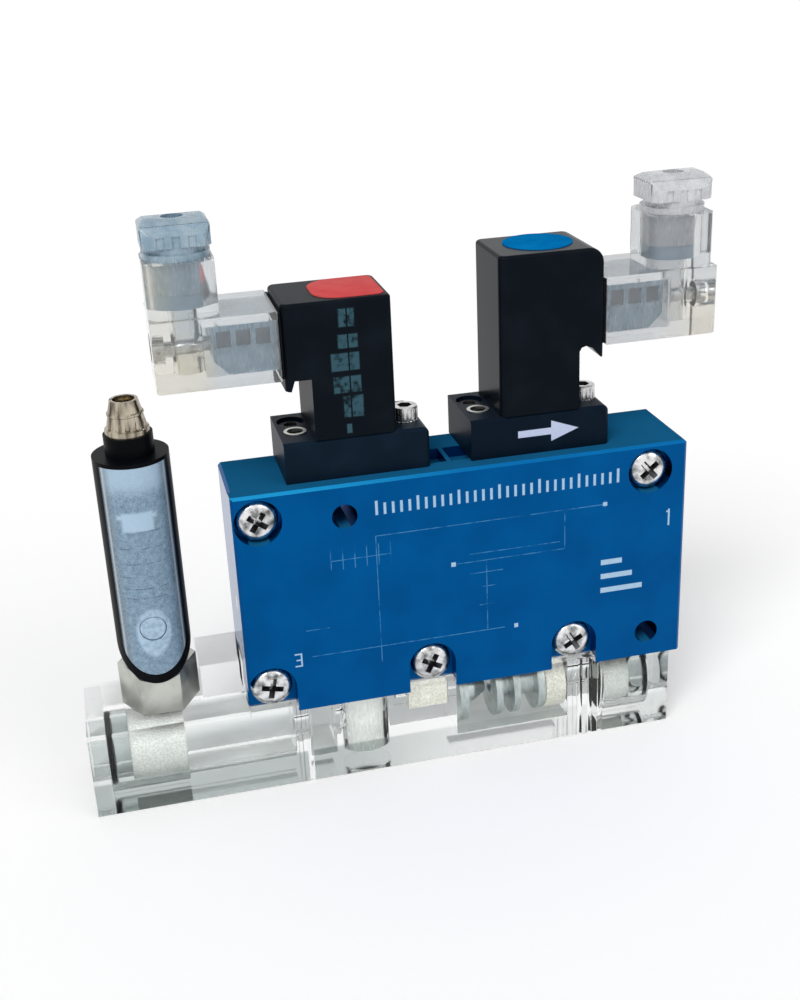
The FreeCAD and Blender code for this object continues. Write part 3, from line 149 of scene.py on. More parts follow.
class NodeSheet:
    """A node tree that is drawn from nothing."""

    def __init__(self, tree: bpy.types.NodeTree) -> None:
        """Empties the tree."""
        self.tree = tree
        self.tree.nodes.clear()

    def plug(self, socket: bpy.types.NodeSocket, value: Any) -> None:
        """Puts a value or a link on a socket.

        Args:
            socket: The input socket.
            value: A Value to link, or a plain number or colour.
        """
        if isinstance(value, Value):
            self.tree.links.new(value.socket, socket)
        elif isinstance(value, tuple) and socket.type == "RGBA":
            socket.default_value = (*value[:3], 1.0)
        else:
            socket.default_value = value

    def add(self, kind: str, settings: Optional[Dict[str, Any]] = None,
            sockets: Optional[Dict[Any, Any]] = None,
            output: Union[int, str] = 0) -> Optional[Value]:
        """Adds one node.

        Args:
            kind: The node's type.
            settings: What is set on the node first.
            sockets: Values or links by the input's name or number.
            output: The output that is returned.

        Returns:
            The chosen output, or nothing for a node that has none.
        """
        node = self.tree.nodes.new(kind)
        for key, value in (settings or {}).items():
            setattr(node, key, value)
        for key, value in (sockets or {}).items():
            self.plug(node.inputs[key], value)
        return Value(self, node.outputs[output]) if node.outputs else None

    def looked_at(self) -> Value:
        """Tells the rays of the eye, of gloss and of clear plastic from those that carry light.

        Returns:
            1 for the first kind and 0 for the second.
        """
        node = self.add("ShaderNodeLightPath").socket.node
        eye, gloss, through = (Value(self, node.outputs[name]) for name in (
            "Is Camera Ray", "Is Glossy Ray", "Is Transmission Ray"))
        return eye | gloss | through


class ShaderSheet(NodeSheet):
    """The node tree of one material, with a Principled shader at its end."""

    def __init__(self, name: str) -> None:
        """Makes an empty material with its output and its shader.

        Args:
            name: The material's name.
        """
        self.material = bpy.data.materials.new(name)
        self.material.use_nodes = True
        super().__init__(self.material.node_tree)
        self.shader = self.add("ShaderNodeBsdfPrincipled").socket.node
        self.add("ShaderNodeOutputMaterial", None, {"Surface": Value(self, self.shader.outputs[0])})
        self._place: Optional[Value] = None

    def place(self) -> Value:
        """Gives the point on the piece, in metres."""
        if self._place is None:
            self._place = self.add("ShaderNodeTexCoord", output="Object")
        return self._place

    def split(self, vector: Value) -> Tuple[Value, ...]:
        """Gives the three parts of a vector."""
        node = self.add("ShaderNodeSeparateXYZ", sockets={0: vector}).socket.node
        return tuple(Value(self, node.outputs[index]) for index in range(3))

    def axes(self) -> Tuple[Value, ...]:
        """Gives X, Y and Z of the point on the piece, in millimetres."""
        return tuple(part / MM for part in self.split(self.place()))

    def facing(self) -> Tuple[Value, ...]:
        """Gives X, Y and Z of the surface's own direction."""
        return self.split(self.add("ShaderNodeNewGeometry", output="Normal"))

    def noise(self, grain_mm: float, detail: float = 3.0, stretch: Optional[Point] = None) -> Value:
        """Gives soft noise about 0.5.

        Args:
            grain_mm: The size of its blotches in millimetres.
            detail: How much finer noise is laid over it.
            stretch: How much it is squeezed along X, Y and Z.

        Returns:
            The noise, from 0 to 1.
        """
        where = self.place()
        if stretch:
            where = self.add("ShaderNodeMapping", {"vector_type": "POINT"},
                             {"Vector": where, "Scale": stretch})
        return self.add("ShaderNodeTexNoise", {"noise_dimensions": "3D"},
                        {"Vector": where, "Scale": 1.0 / (grain_mm * MM), "Detail": detail}, "Fac")

    def cells(self, grain_mm: float) -> Value:
        """Gives the distance to the nearest of many scattered points, in cell sizes."""
        return self.add("ShaderNodeTexVoronoi", {"feature": "F1"},
                        {"Vector": self.place(), "Scale": 1.0 / (grain_mm * MM)}, "Distance")

    def mix(self, share: Operand, first: Paint, second: Paint) -> Value:
        """Blends two colours, by a share from 0 for the first to 1 for the second."""
        return self.add("ShaderNodeMix", {"data_type": "RGBA", "clamp_factor": True},
                        {0: share, 6: first, 7: second}, 2)

    def bump(self, height: Value, strength: float, depth_mm: float) -> Value:
        """Tilts the surface by a height from 0 to 1, at a strength and a depth in millimetres."""
        return self.add("ShaderNodeBump", None,
                        {"Strength": strength, "Distance": depth_mm * MM, "Height": height})

    def finish(self, **looks: Any) -> bpy.types.Material:
        """Sets the Principled shader's sockets.

        Args:
            **looks: Values by socket name, with underscores for spaces.

        Returns:
            The finished material.
        """
        for key, value in looks.items():
            self.plug(self.shader.inputs[key.replace("_", " ")], value)
        return self.material


@dataclass(frozen=True)
class Bar:
    """A printed stroke: a rectangle on the front face, by its corners in millimetres."""

    left: float
    low: float
    right: float
    high: float

    def reach(self, x: Value, z: Value) -> Value:
        """Gives how far a point is outside the rectangle, below 0 inside it.

        Args:
            x: The point's place along X.
            z: The point's height.

        Returns:
            The distance in millimetres.
        """
        across = abs(x - (self.left + self.right) / 2) - (self.right - self.left) / 2
        upright = abs(z - (self.low + self.high) / 2) - (self.high - self.low) / 2
        return across | upright


def printed(x: Value, z: Value, bars: Iterable[Bar], softness: float) -> Value:
    """Gives the mask of several printed strokes.

    Args:
        x: The point's place along X.
        z: The point's height.
        bars: The strokes.
        softness: The width of their soft edge in millimetres.

    Returns:
        1 on the strokes and 0 off them.
    """
    nearest: Optional[Value] = None
    for bar in bars:
        reach = bar.reach(x, z)
        nearest = reach if nearest is None else nearest & reach
    return 1.0 - nearest.ease(-softness / 2, softness / 2)


class Digit(Enum):
    """The strokes of the port numbers, in a box one unit wide and two high."""

    ONE = ((0.40, 0.0, 0.60, 2.0), (0.20, 1.62, 0.42, 1.80))
    THREE = ((0.0, 1.8, 1.0, 2.0), (0.8, 0.0, 1.0, 2.0), (0.2, 0.9, 1.0, 1.1), (0.0, 0.0, 1.0, 0.2))

    def bars(self, left: float, low: float, width: float) -> List[Bar]:
        """Gives the digit's strokes from its left edge and foot, at a width in millimetres."""
        return [Bar(left + a * width, low + b * width, left + c * width, low + d * width)
                for a, b, c, d in self.value]


@dataclass(frozen=True)
class Finish:
    """One surface finish. Each kind says what goes on the Principled shader's sockets."""

    name: str

    def looks(self, sheet: ShaderSheet) -> Looks:
        """Gives the values by socket name, with underscores for spaces."""
        raise NotImplementedError

    def build(self) -> bpy.types.Material:
        """Builds the material."""
        sheet = ShaderSheet(self.name)
        return sheet.finish(**self.looks(sheet))


@dataclass(frozen=True)
class BlueAnodised(Finish):
    """Satin blue anodised aluminium with the pale circuit drawing on its front, a painted lighter
    top and a painted highlight along the front chamfer.
    """

    colour: Colour = srgb(2, 84, 147)
    deep: Colour = srgb(1, 76, 136)
    # Painted light: the level top's lighter blue, as if lit from above.
    top: Colour = srgb(22, 92, 134)
    # Painted highlight: the bright blue of the line along the front chamfer.
    worn: Colour = srgb(28, 138, 192)
    ink: Colour = srgb(86, 150, 196)
    bright_ink: Colour = srgb(176, 202, 224)
    glint: Colour = srgb(30, 120, 180)
    # Painted light: a second lighter blue, mixed in blotches over the painted lit top.
    dust_on_painted_lit_top: Colour = srgb(22, 98, 144)
    line_mm: float = 0.16
    print_before: float = -8.9
    roughness: float = 0.40
    end_roughness: float = 0.13

    def drawing(self) -> List[Bar]:
        """Gives the fine lines of the circuit drawing.

        Returns:
            The lines, each as a thin stroke.
        """
        half = self.line_mm / 2

        def flat(left: float, right: float, z: float) -> Bar:
            """Gives a level line."""
            return Bar(left, z - half, right, z + half)

        def upright(x: float, low: float, high: float) -> Bar:
            """Gives an upright line."""
            return Bar(x - half, low, x + half, high)

        lines = [
            flat(-16.4, 25.2, 46.8), upright(17.7, 39.3, 46.8), flat(-2.6, 17.7, 39.3),
            flat(0.2, 16.8, 40.8), upright(-16.4, 25.3, 46.8), upright(3.2, 25.6, 39.0),
            flat(-28.9, 6.4, 25.4), upright(-16.4, 22.3, 25.4), upright(25.2, 46.2, 47.5),
            flat(0.0, 6.2, 37.0), flat(1.4, 5.0, 34.2), flat(1.8, 4.6, 30.6),
        ]
        combs = [upright(-24.4 + 2.1 * step, 41.4, 45.4) for step in range(6)]
        rungs = [flat(-24.4, -13.9, 43.2), flat(-29.6, -25.4, 30.6)]
        return lines + combs + rungs

    def bold(self) -> List[Bar]:
        """Gives the bold marks: port numbers, a row of scale ticks and a stepped sign.

        Returns:
            Their strokes.
        """
        ticks = [Bar(-16.2 + 1.45 * step, 50.7, -15.75 + 1.45 * step, 52.8 + 0.5 * (step % 5 == 0))
                 for step in range(31)]
        steps = [Bar(24.6, foot, 32.6 - 2.0 * step, foot + 1.0)
                 for step, foot in enumerate((29.3, 32.1, 34.9))]
        numbers = Digit.ONE.bars(36.6, 41.0, 1.6) + Digit.THREE.bars(-31.9, 23.8, 1.3)
        dots = [Bar(24.8, 46.5, 25.6, 47.2), Bar(8.2, 25.0, 8.9, 25.8), Bar(-3.2, 38.9, -2.4, 39.7)]
        return ticks + steps + numbers + dots

    def looks(self, sheet: ShaderSheet) -> Looks:
        """Gives the blue, its faint grain and the print on the front face only, with painted light:
        a lighter blue on the level top and a bright line along the front chamfer.

        Args:
            sheet: The material's sheet.

        Returns:
            The values by socket name.
        """
        x, y, z = sheet.axes()
        front = y < self.print_before
        fine = printed(x, z, self.drawing(), 0.10) * sheet.noise(1.6, 2.0).ease(0.30, 0.62) * 0.62
        bold = printed(x, z, self.bold(), 0.14) * (0.72 + 0.28 * sheet.noise(0.7, 2.0))
        cloud = sheet.noise(9.0, 4.0)
        body = sheet.mix(cloud.ease(0.3, 0.7), self.colour, self.deep)
        grain = sheet.noise(0.05, 2.0, (1.0, 1.0, 6.0))
        body = sheet.mix(0.08 * grain, body, self.glint)
        sideways, forwards, upwards = sheet.facing()
        end = abs(sideways) > STRAIGHT
        # Painted light: level faces take a lighter blue, as if lit from above, with blotches of a
        # second blue.
        level = upwards > STRAIGHT
        dusty = sheet.mix(0.5 * cloud, self.top, self.dust_on_painted_lit_top)
        body = sheet.mix(level, body, dusty)
        # Painted highlight: a bright line on the front chamfer, strongest at the left and fading to
        # the right.
        chamfer = (upwards > 0.3) * (upwards < STRAIGHT) * (forwards < -0.3)
        rim = chamfer * (0.95 - 0.75 * x.ease(-34.0, 6.0))
        body = sheet.mix(rim, body, self.worn)
        mask = (fine | bold) * front
        inked = sheet.mix(bold * front, sheet.mix(mask, body, self.ink), self.bright_ink)
        smoother = (self.roughness - self.end_roughness) * end
        return dict(
            Base_Color=inked, Specular_IOR_Level=0.0,
            Metallic=1.0 - (0.8 * mask | level | 0.6 * rim),
            Roughness=self.roughness - smoother + 0.12 * grain,
            Normal=sheet.bump(grain, 0.12, 0.02))


@dataclass(frozen=True)
class ClearPlastic(Finish):
    """Clear moulded plastic, a little hazy, with faint flow marks and a darker foot."""

    tint: Colour = (0.955, 0.976, 0.971)
    smoke: float = 0.92
    foot: Colour = (0.260, 0.300, 0.294)
    foot_top: float = 6.6
    foot_fade: Tuple[float, float] = (-26.0, 4.0)
    front_y: float = -8.98
    clear_above: float = 15.5
    clarity: float = 0.992
    roughness: float = 0.07
    sheen: float = 0.55
    ior: float = 1.24
    joints: Tuple[float, ...] = (-65.9, 35.4)
    bore_radius: float = 6.6
    bore_z: float = 7.6

    def paint(self, sheet: ShaderSheet, body: Value) -> Value:
        """Darkens the foot and clears what stands above the block.

        Args:
            sheet: The material's sheet.
            body: The plastic's colour.

        Returns:
            The colour over the piece.
        """
        x, y, z = sheet.axes()
        low_front = (y < self.front_y) * (1.0 - z.ease(self.foot_top - 0.5, self.foot_top))
        body = sheet.mix(low_front * (1.0 - 0.62 * x.ease(*self.foot_fade)), body, self.foot)
        return sheet.mix(z > self.clear_above, body, grey(0.99))

    def passing(self, sheet: ShaderSheet) -> Operand:
        """Gives 0 where two clear pieces lie against each other, so that light goes straight on.

        Args:
            sheet: The material's sheet.

        Returns:
            The opacity over the piece.
        """
        if not self.joints:
            return 1.0
        x, y, z = sheet.axes()
        left, right = (abs(x - joint) < 0.02 for joint in self.joints)
        rise = z - self.bore_z
        off_bore = (y * y + rise * rise) > self.bore_radius ** 2
        return 1.0 - (left | right) * off_bore

    def looks(self, sheet: ShaderSheet) -> Looks:
        """Gives the clear plastic.

        Args:
            sheet: The material's sheet.

        Returns:
            The values by socket name.
        """
        flow = sheet.noise(5.0, 2.0, (0.5, 1.0, 1.0))
        haze = sheet.noise(0.6, 2.0)
        smoky = tuple(self.smoke * level for level in self.tint)
        body = sheet.mix(flow.ease(0.40, 0.72), self.tint, smoky)
        return dict(
            Base_Color=self.paint(sheet, body), Transmission_Weight=self.clarity, IOR=self.ior,
            Roughness=self.roughness + 0.02 * haze, Specular_Tint=grey(self.sheen),
            Alpha=self.passing(sheet), Normal=sheet.bump(flow, 0.08, 0.06))


@dataclass(frozen=True)
class AgedPlastic(ClearPlastic):
    """The plugs' clear plastic, milkier and gone cream at the outer low corner."""

    tint: Colour = (0.755, 0.792, 0.818)
    cream: Colour = (0.790, 0.768, 0.690)
    clarity: float = 0.86
    ior: float = 1.30
    joints: Tuple[float, ...] = ()
    outer_x: Tuple[float, float] = (38.5, 43.0)
    cream_top: Tuple[float, float] = (80.0, 84.0)
    rim_x: Tuple[float, float] = (45.0, 47.6)

    def paint(self, sheet: ShaderSheet, body: Value) -> Value:
        """Yellows the outer low corner and the outer edge.

        Args:
            sheet: The material's sheet.
            body: The plastic's colour.

        Returns:
            The colour over the piece.
        """
        x, _, z = sheet.axes()
        reach = abs(x)
        low = 1.0 - z.ease(*self.cream_top)
        corner = reach.ease(*self.outer_x) * low | 0.75 * reach.ease(*self.rim_x)
        cloud = sheet.noise(3.0, 3.0).ease(0.30, 0.62)
        return sheet.mix((0.35 * cloud + 0.65) * corner, body, self.cream)


@dataclass(frozen=True)
class TintedPlastic(Finish):
    """Translucent tinted plastic, with light lost inside it."""

    tint: Colour = srgb(150, 178, 196)
    pale: Colour = srgb(196, 212, 222)
    clarity: float = 0.35
    blotch_mm: float = 2.2
    roughness: float = 0.22
    # Painted light: the strength of the piece's glow, though it is no lamp.
    glow: float = 0.0

    def looks(self, sheet: ShaderSheet) -> Looks:
        """Gives the tinted plastic. Its glow is painted light, an emission standing in for light
        that the clear block scatters into it.

        Args:
            sheet: The material's sheet.

        Returns:
            The values by socket name.
        """
        blotch = sheet.noise(self.blotch_mm, 3.0).ease(0.35, 0.68)
        streak = sheet.noise(0.5, 2.0, (1.0, 1.0, 0.2))
        colour = sheet.mix(blotch * 0.7 + streak * 0.2, self.tint, self.pale)
        return dict(
            Base_Color=colour, Transmission_Weight=self.clarity, IOR=1.49,
            Roughness=self.roughness + 0.1 * streak, Normal=sheet.bump(streak, 0.10, 0.05),
            Emission_Color=colour, Emission_Strength=self.glow)


@dataclass(frozen=True)
class BlackMoulding(Finish):
    """Dark satin moulded plastic with a fine grain."""

    colour: Colour = srgb(9, 16, 23)
    worn: Colour = srgb(20, 28, 36)
    roughness: float = 0.30
    gloss: float = 0.04
    print_before: float = -5.9

    def paint(self, sheet: ShaderSheet) -> Value:
        """Gives the colour over the surface."""
        cloud = sheet.noise(7.0, 4.0).ease(0.42, 0.75)
        return sheet.mix(0.45 * cloud, self.colour, self.worn)

    def looks(self, sheet: ShaderSheet) -> Looks:
        """Gives the moulded plastic.

        Args:
            sheet: The material's sheet.

        Returns:
            The values by socket name.
        """
        grain = sheet.noise(0.12, 3.0)
        return dict(
            Base_Color=self.paint(sheet), Roughness=self.roughness + 0.16 * grain,
            Specular_IOR_Level=self.gloss, Normal=sheet.bump(grain, 0.18, 0.03))


@dataclass(frozen=True)
class MarkedCoil(BlackMoulding):
    """The coil moulding with the worn print on its front: plain bars in two columns."""

    ink: Colour = srgb(58, 92, 104)
    bars: Tuple[Bar, ...] = (
        Bar(-20.0, 83.2, -17.4, 86.2), Bar(-20.3, 79.6, -17.0, 81.9),
        Bar(-21.6, 75.8, -16.9, 78.8), Bar(-21.4, 72.0, -16.8, 74.8),
        Bar(-19.9, 67.7, -16.6, 71.4), Bar(-19.6, 64.9, -18.6, 66.5))
    gap: Bar = Bar(-18.75, 60.0, -18.5, 90.0)

    def paint(self, sheet: ShaderSheet) -> Value:
        """Adds the worn bars to the plain moulding.

        Args:
            sheet: The material's sheet.

        Returns:
            The colour over the surface.
        """
        x, y, z = sheet.axes()
        gap = 1.0 - printed(x, z, [self.gap], 0.1)
        wear = sheet.noise(1.1, 3.0).ease(0.26, 0.54)
        mask = printed(x, z, self.bars, 0.25) * gap * wear * (y < self.print_before)
        return sheet.mix(mask * 0.8, super().paint(sheet), self.ink)


@dataclass(frozen=True)
class ArrowBase(BlackMoulding):
    """The valve foot with the pale flow arrow on its front."""

    ink: Colour = srgb(198, 208, 236)
    tail: Tuple[float, float] = (10.2, 16.3)
    tip: float = 21.2
    height: float = 60.75
    half_shaft: float = 0.62
    half_head: float = 1.85

    def paint(self, sheet: ShaderSheet) -> Value:
        """Adds the arrow to the plain moulding.

        Args:
            sheet: The material's sheet.

        Returns:
            The colour over the surface.
        """
        x, y, z = sheet.axes()
        shaft = printed(x, z, [Bar(self.tail[0], self.height - self.half_shaft,
                                   self.tail[1], self.height + self.half_shaft)], 0.12)
        slope = self.half_head / (self.tip - self.tail[1])
        reach = abs(z - self.height) - (self.tip - x) * slope
        head = (1.0 - reach.ease(-0.06, 0.06)) * (x > self.tail[1] - 0.1)
        wear = 0.82 + 0.18 * sheet.noise(0.6, 3.0)
        mask = (shaft | head) * wear * (y < self.print_before)
        return sheet.mix(mask, super().paint(sheet), self.ink)


@dataclass(frozen=True)
class BrightMetal(Finish):
    """Plated or turned metal, with the marks of the tool and dark blotches, which on the pan head
    screws are painted reflections.
    """

    colour: Colour = grey(0.72)
    shade: Colour = (0.42, 0.42, 0.43)
    roughness: float = 0.16
    grain_mm: float = 0.5
    stretch: Point = (1.0, 1.0, 1.0)

    def looks(self, sheet: ShaderSheet) -> Looks:
        """Gives the metal.

        Args:
            sheet: The material's sheet.

        Returns:
            The values by socket name.
        """
        # Dark blotches: stains on most metals; on the pan head screws, painted reflections.
        stain_and_reflection = sheet.noise(self.grain_mm * 3, 4.0, self.stretch)
        grain = sheet.noise(self.grain_mm * 0.3, 3.0, self.stretch)
        colour = sheet.mix(stain_and_reflection.ease(0.35, 0.75), self.colour, self.shade)
        return dict(
            Base_Color=colour, Metallic=1.0, Roughness=self.roughness + 0.22 * grain,
            Normal=sheet.bump(grain, 0.25, 0.03))


@dataclass(frozen=True)
class SoftRubber(Finish):
    """Seal rubber."""

    colour: Colour = srgb(8, 8, 10)
    dusty: Colour = srgb(90, 92, 96)
    gloss: float = 0.03

    def looks(self, sheet: ShaderSheet) -> Looks:
        """Gives the rubber.

        Args:
            sheet: The material's sheet.

        Returns:
            The values by socket name.
        """
        bloom = sheet.noise(1.4, 3.0)
        return dict(
            Base_Color=sheet.mix(0.08 * bloom, self.colour, self.dusty),
            Roughness=0.5 + 0.2 * bloom, Specular_IOR_Level=self.gloss,
            Normal=sheet.bump(bloom, 0.1, 0.03))


@dataclass(frozen=True)
class Porous(Finish):
    """Sintered or pressed filter material."""

    colour: Colour = srgb(236, 234, 228)
    pit: Colour = srgb(200, 194, 182)
    grain_mm: float = 0.35
    # Painted light: the strength of the piece's glow, though it is no lamp.
    glow: float = 0.0

    def looks(self, sheet: ShaderSheet) -> Looks:
        """Gives the porous material. Its glow is painted light, an emission standing in for light
        that the clear block scatters into it.

        Args:
            sheet: The material's sheet.

        Returns:
            The values by socket name.
        """
        pits = sheet.cells(self.grain_mm)
        colour = sheet.mix(pits.ease(0.2, 0.8), self.pit, self.colour)
        return dict(
            Base_Color=colour, Roughness=0.85, Normal=sheet.bump(pits, 0.5, 0.10),
            Emission_Color=colour, Emission_Strength=self.glow)


@dataclass(frozen=True)
class PaintedCap(Finish):
    """A matt coloured cap, slightly faded."""

    colour: Colour = srgb(204, 72, 74)
    faded: Colour = srgb(212, 88, 88)
    gloss: float = 0.02

    def looks(self, sheet: ShaderSheet) -> Looks:
        """Gives the coloured cap.

        Args:
            sheet: The material's sheet.

        Returns:
            The values by socket name.
        """
        fade = sheet.noise(4.0, 3.0).ease(0.35, 0.65)
        grain = sheet.noise(0.15, 2.0)
        return dict(
            Base_Color=sheet.mix(0.6 * fade, self.colour, self.faded),
            Roughness=0.42 + 0.15 * grain, Specular_IOR_Level=self.gloss,
            Normal=sheet.bump(grain, 0.12, 0.03))


@dataclass(frozen=True)
class FrostedWindow(Finish):
    """The switch's frosted window, with the display's pale field and fine rules behind it, and a
    painted highlight on its curved top.
    """

    colour: Colour = srgb(92, 120, 142)
    pale: Colour = srgb(172, 198, 220)
    rule: Colour = srgb(52, 70, 88)
    side_dark: Colour = srgb(74, 84, 92)
    side_pale: Colour = srgb(128, 140, 148)
    lip: Colour = srgb(176, 190, 200)
    gap: Colour = srgb(30, 36, 42)
    middle_x: float = -55.3
    display: Tuple[Bar, ...] = (Bar(-58.2, 52.2, -53.0, 55.6), Bar(-58.9, 54.4, -52.4, 55.2))
    rule_ends: Tuple[float, float] = (-59.0, -51.8)
    rule_heights: Tuple[float, ...] = (49.0, 46.2, 43.8, 41.6, 39.8, 52.0)
    rule_mm: float = 0.16
    button: Tuple[float, float] = (-55.2, 33.2)
    button_size: Tuple[float, float] = (3.0, 4.6)
    # Painted highlight: the heights over which the curved top turns pale.
    crown: Tuple[float, float] = (57.4, 61.2)
    side: Tuple[float, float] = (3.7, 4.7)
    lip_rise: Tuple[float, float] = (4.75, 4.95)
    lip_fall: Tuple[float, float] = (5.05, 5.2)
    edge: Tuple[float, float] = (5.1, 5.3)

    def looks(self, sheet: ShaderSheet) -> Looks:
        """Gives the window.

        Args:
            sheet: The material's sheet.

        Returns:
            The values by socket name.
        """
        x, _, z = sheet.axes()
        mottle = sheet.noise(0.9, 4.0).ease(0.34, 0.66)
        fine = sheet.noise(0.22, 3.0)
        speck = fine.ease(0.40, 0.60)
        body = sheet.mix(0.20 * mottle + 0.26 * speck, self.colour, self.pale)
        field = printed(x, z, self.display, 0.7)
        # Painted highlight: the curved top is painted pale.
        crown = z.ease(*self.crown) * 0.85
        across, upright = ((part - middle) / size for part, middle, size in zip(
            (x, z), self.button, self.button_size))
        foot = across ** 2 + upright ** 2
        oval = (1.0 - foot.ease(0.75, 1.15)) * (0.55 + 0.45 * mottle)
        left, right = self.rule_ends
        rules = printed(x, z, [Bar(left, height, right, height + self.rule_mm)
                               for height in self.rule_heights], 0.2)
        body = sheet.mix((field | oval | crown) * 0.85, body, self.pale)
        body = sheet.mix(rules * sheet.noise(1.6, 2.0).ease(0.35, 0.6) * 0.85, body, self.rule)
        aside = abs(x - self.middle_x)
        grain = sheet.mix(speck, self.side_dark, self.side_pale)
        body = sheet.mix(0.55 * aside.ease(*self.side), body, grain)
        bright = aside.ease(*self.lip_rise) & (1.0 - aside.ease(*self.lip_fall))
        body = sheet.mix(0.7 * bright, body, self.lip)
        body = sheet.mix(0.8 * aside.ease(*self.edge), body, self.gap)
        return dict(
            Base_Color=body, Roughness=0.30 + 0.2 * fine, Coat_Weight=0.35, Coat_Roughness=0.15,
            Normal=sheet.bump(fine, 0.25, 0.05))


@dataclass(frozen=True)
class Board(Finish):
    """A lacquered circuit board."""

    colour: Colour = srgb(52, 96, 84)
    track: Colour = srgb(96, 140, 120)

    def looks(self, sheet: ShaderSheet) -> Looks:
        """Gives the board.

        Args:
            sheet: The material's sheet.

        Returns:
            The values by socket name.
        """
        tracks = sheet.noise(0.8, 1.0).ease(0.48, 0.52)
        return dict(
            Base_Color=sheet.mix(0.5 * tracks, self.colour, self.track), Roughness=0.4,
            Normal=sheet.bump(tracks, 0.2, 0.04))


class Finishes:
    """All the finishes, each built once."""

    def __init__(self) -> None:
        """Lists the finishes by the names that the pieces use."""
        kinds: Sequence[Finish] = (
            BlueAnodised("blue_anodised"),
            ClearPlastic("clear_housing_plastic"),
            ClearPlastic("clear_cap_plastic", tint=(0.80, 0.835, 0.828), smoke=0.88),
            AgedPlastic("clear_plug_plastic"),
            AgedPlastic("pale_plug_plastic", tint=(0.735, 0.756, 0.775)),
            TintedPlastic("smoky_nut", tint=srgb(140, 170, 190), pale=srgb(186, 206, 218)),
            TintedPlastic("white_nut", tint=srgb(212, 214, 218), pale=srgb(236, 237, 240)),
            TintedPlastic("carrier_plastic", tint=srgb(122, 164, 188), pale=srgb(192, 216, 230)),
            # Painted light: the check valve's cage and poppet glow.
            TintedPlastic("frosted_plastic", tint=srgb(228, 230, 228), pale=srgb(246, 246, 244),
                          glow=0.20),
            MarkedCoil("marked_coil"),
            BlackMoulding("plain_coil", roughness=0.16),
            BlackMoulding("dark_foot", colour=srgb(12, 26, 40), worn=srgb(22, 40, 54)),
            ArrowBase("arrow_foot", colour=srgb(9, 22, 36), worn=srgb(20, 36, 52)),
            BlackMoulding("switch_black", colour=srgb(7, 8, 11), worn=srgb(20, 22, 28)),
            BrightMetal("bright_screw"),
            # Painted reflection: the pan heads' dark blotches stand in for the dark that the chrome
            # reflects.
            BrightMetal("pan_head_metal", colour=grey(0.80), shade=(0.07, 0.08, 0.08),
                        roughness=0.12, grain_mm=0.55),
            # Painted shade: the dark of the screws' cross recesses and hexagon sockets.
            BrightMetal("screw_recess", colour=(0.10, 0.10, 0.11), shade=(0.05, 0.05, 0.06),
                        roughness=0.35),
            # Painted shade: the sunk cap screw is the bright screw's metal painted near black, as
            # if in the shade of its deep seat.
            BrightMetal("sunk_screw", colour=(0.05, 0.05, 0.06), shade=grey(0.03), roughness=0.40),
            BrightMetal("nickel", colour=(0.55, 0.56, 0.52), shade=(0.36, 0.37, 0.34),
                        roughness=0.26, grain_mm=1.6),
            BrightMetal("warm_nickel", colour=(0.50, 0.44, 0.35), shade=(0.04, 0.03, 0.02),
                        grain_mm=0.34, stretch=(1.0, 1.0, 0.10)),
            BrightMetal("turned_aluminium", colour=(0.66, 0.71, 0.70), shade=(0.46, 0.51, 0.50),
                        roughness=0.25, stretch=(4.0, 1.0, 1.0)),
            BrightMetal("gilt", colour=(0.80, 0.60, 0.28), shade=(0.60, 0.42, 0.18),
                        roughness=0.25),
            BrightMetal("tinned", colour=(0.06, 0.09, 0.12), shade=(0.03, 0.05, 0.07),
                        roughness=0.35),
            SoftRubber("black_rubber"),
            SoftRubber("grey_rubber", colour=srgb(140, 168, 188), gloss=0.4),
            # Painted light: the filter and silencer glow faintly, the felt and diffuser ring more.
            Porous("white_porous", colour=srgb(230, 232, 229), pit=srgb(208, 210, 204), glow=0.02),
            Porous("cream_felt", colour=srgb(242, 240, 230), pit=srgb(218, 214, 200), grain_mm=0.5,
                   glow=0.16),
            PaintedCap("red_cap"),
            PaintedCap("blue_cap", colour=srgb(2, 108, 172), faded=srgb(10, 122, 186), gloss=0.0),
            FrostedWindow("frosted_window"),
            Board("green_board"),
        )
        self.materials = {kind.name: kind.build() for kind in kinds}

    def give(self, piece: bpy.types.Object, name: str) -> None:
        """Gives a piece its only finish, by name."""
        piece.data.materials.clear()
        piece.data.materials.append(self.materials[name])


FINISHES = Finishes()


def dress(finish: str, *nodes: str) -> None:
    """Gives modelled nodes a finish and reports them.

    Args:
        finish: The finish.
        *nodes: The nodes.
    """
    for node in nodes:
        FINISHES.give(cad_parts[node], finish)
        log.info("%s: %s", node, finish)


class Domain(Enum):
    """What an edit picks from a mesh."""

    FACE = "FACE"
    EDGE = "EDGE"


class Axis(Enum):
    """A direction, with the turn that lays an upright piece along it."""

    Y = (math.pi / 2, 0.0, 0.0)
    Z = (0.0, 0.0, 0.0)


Test = Callable[[Vector, Vector], bool]


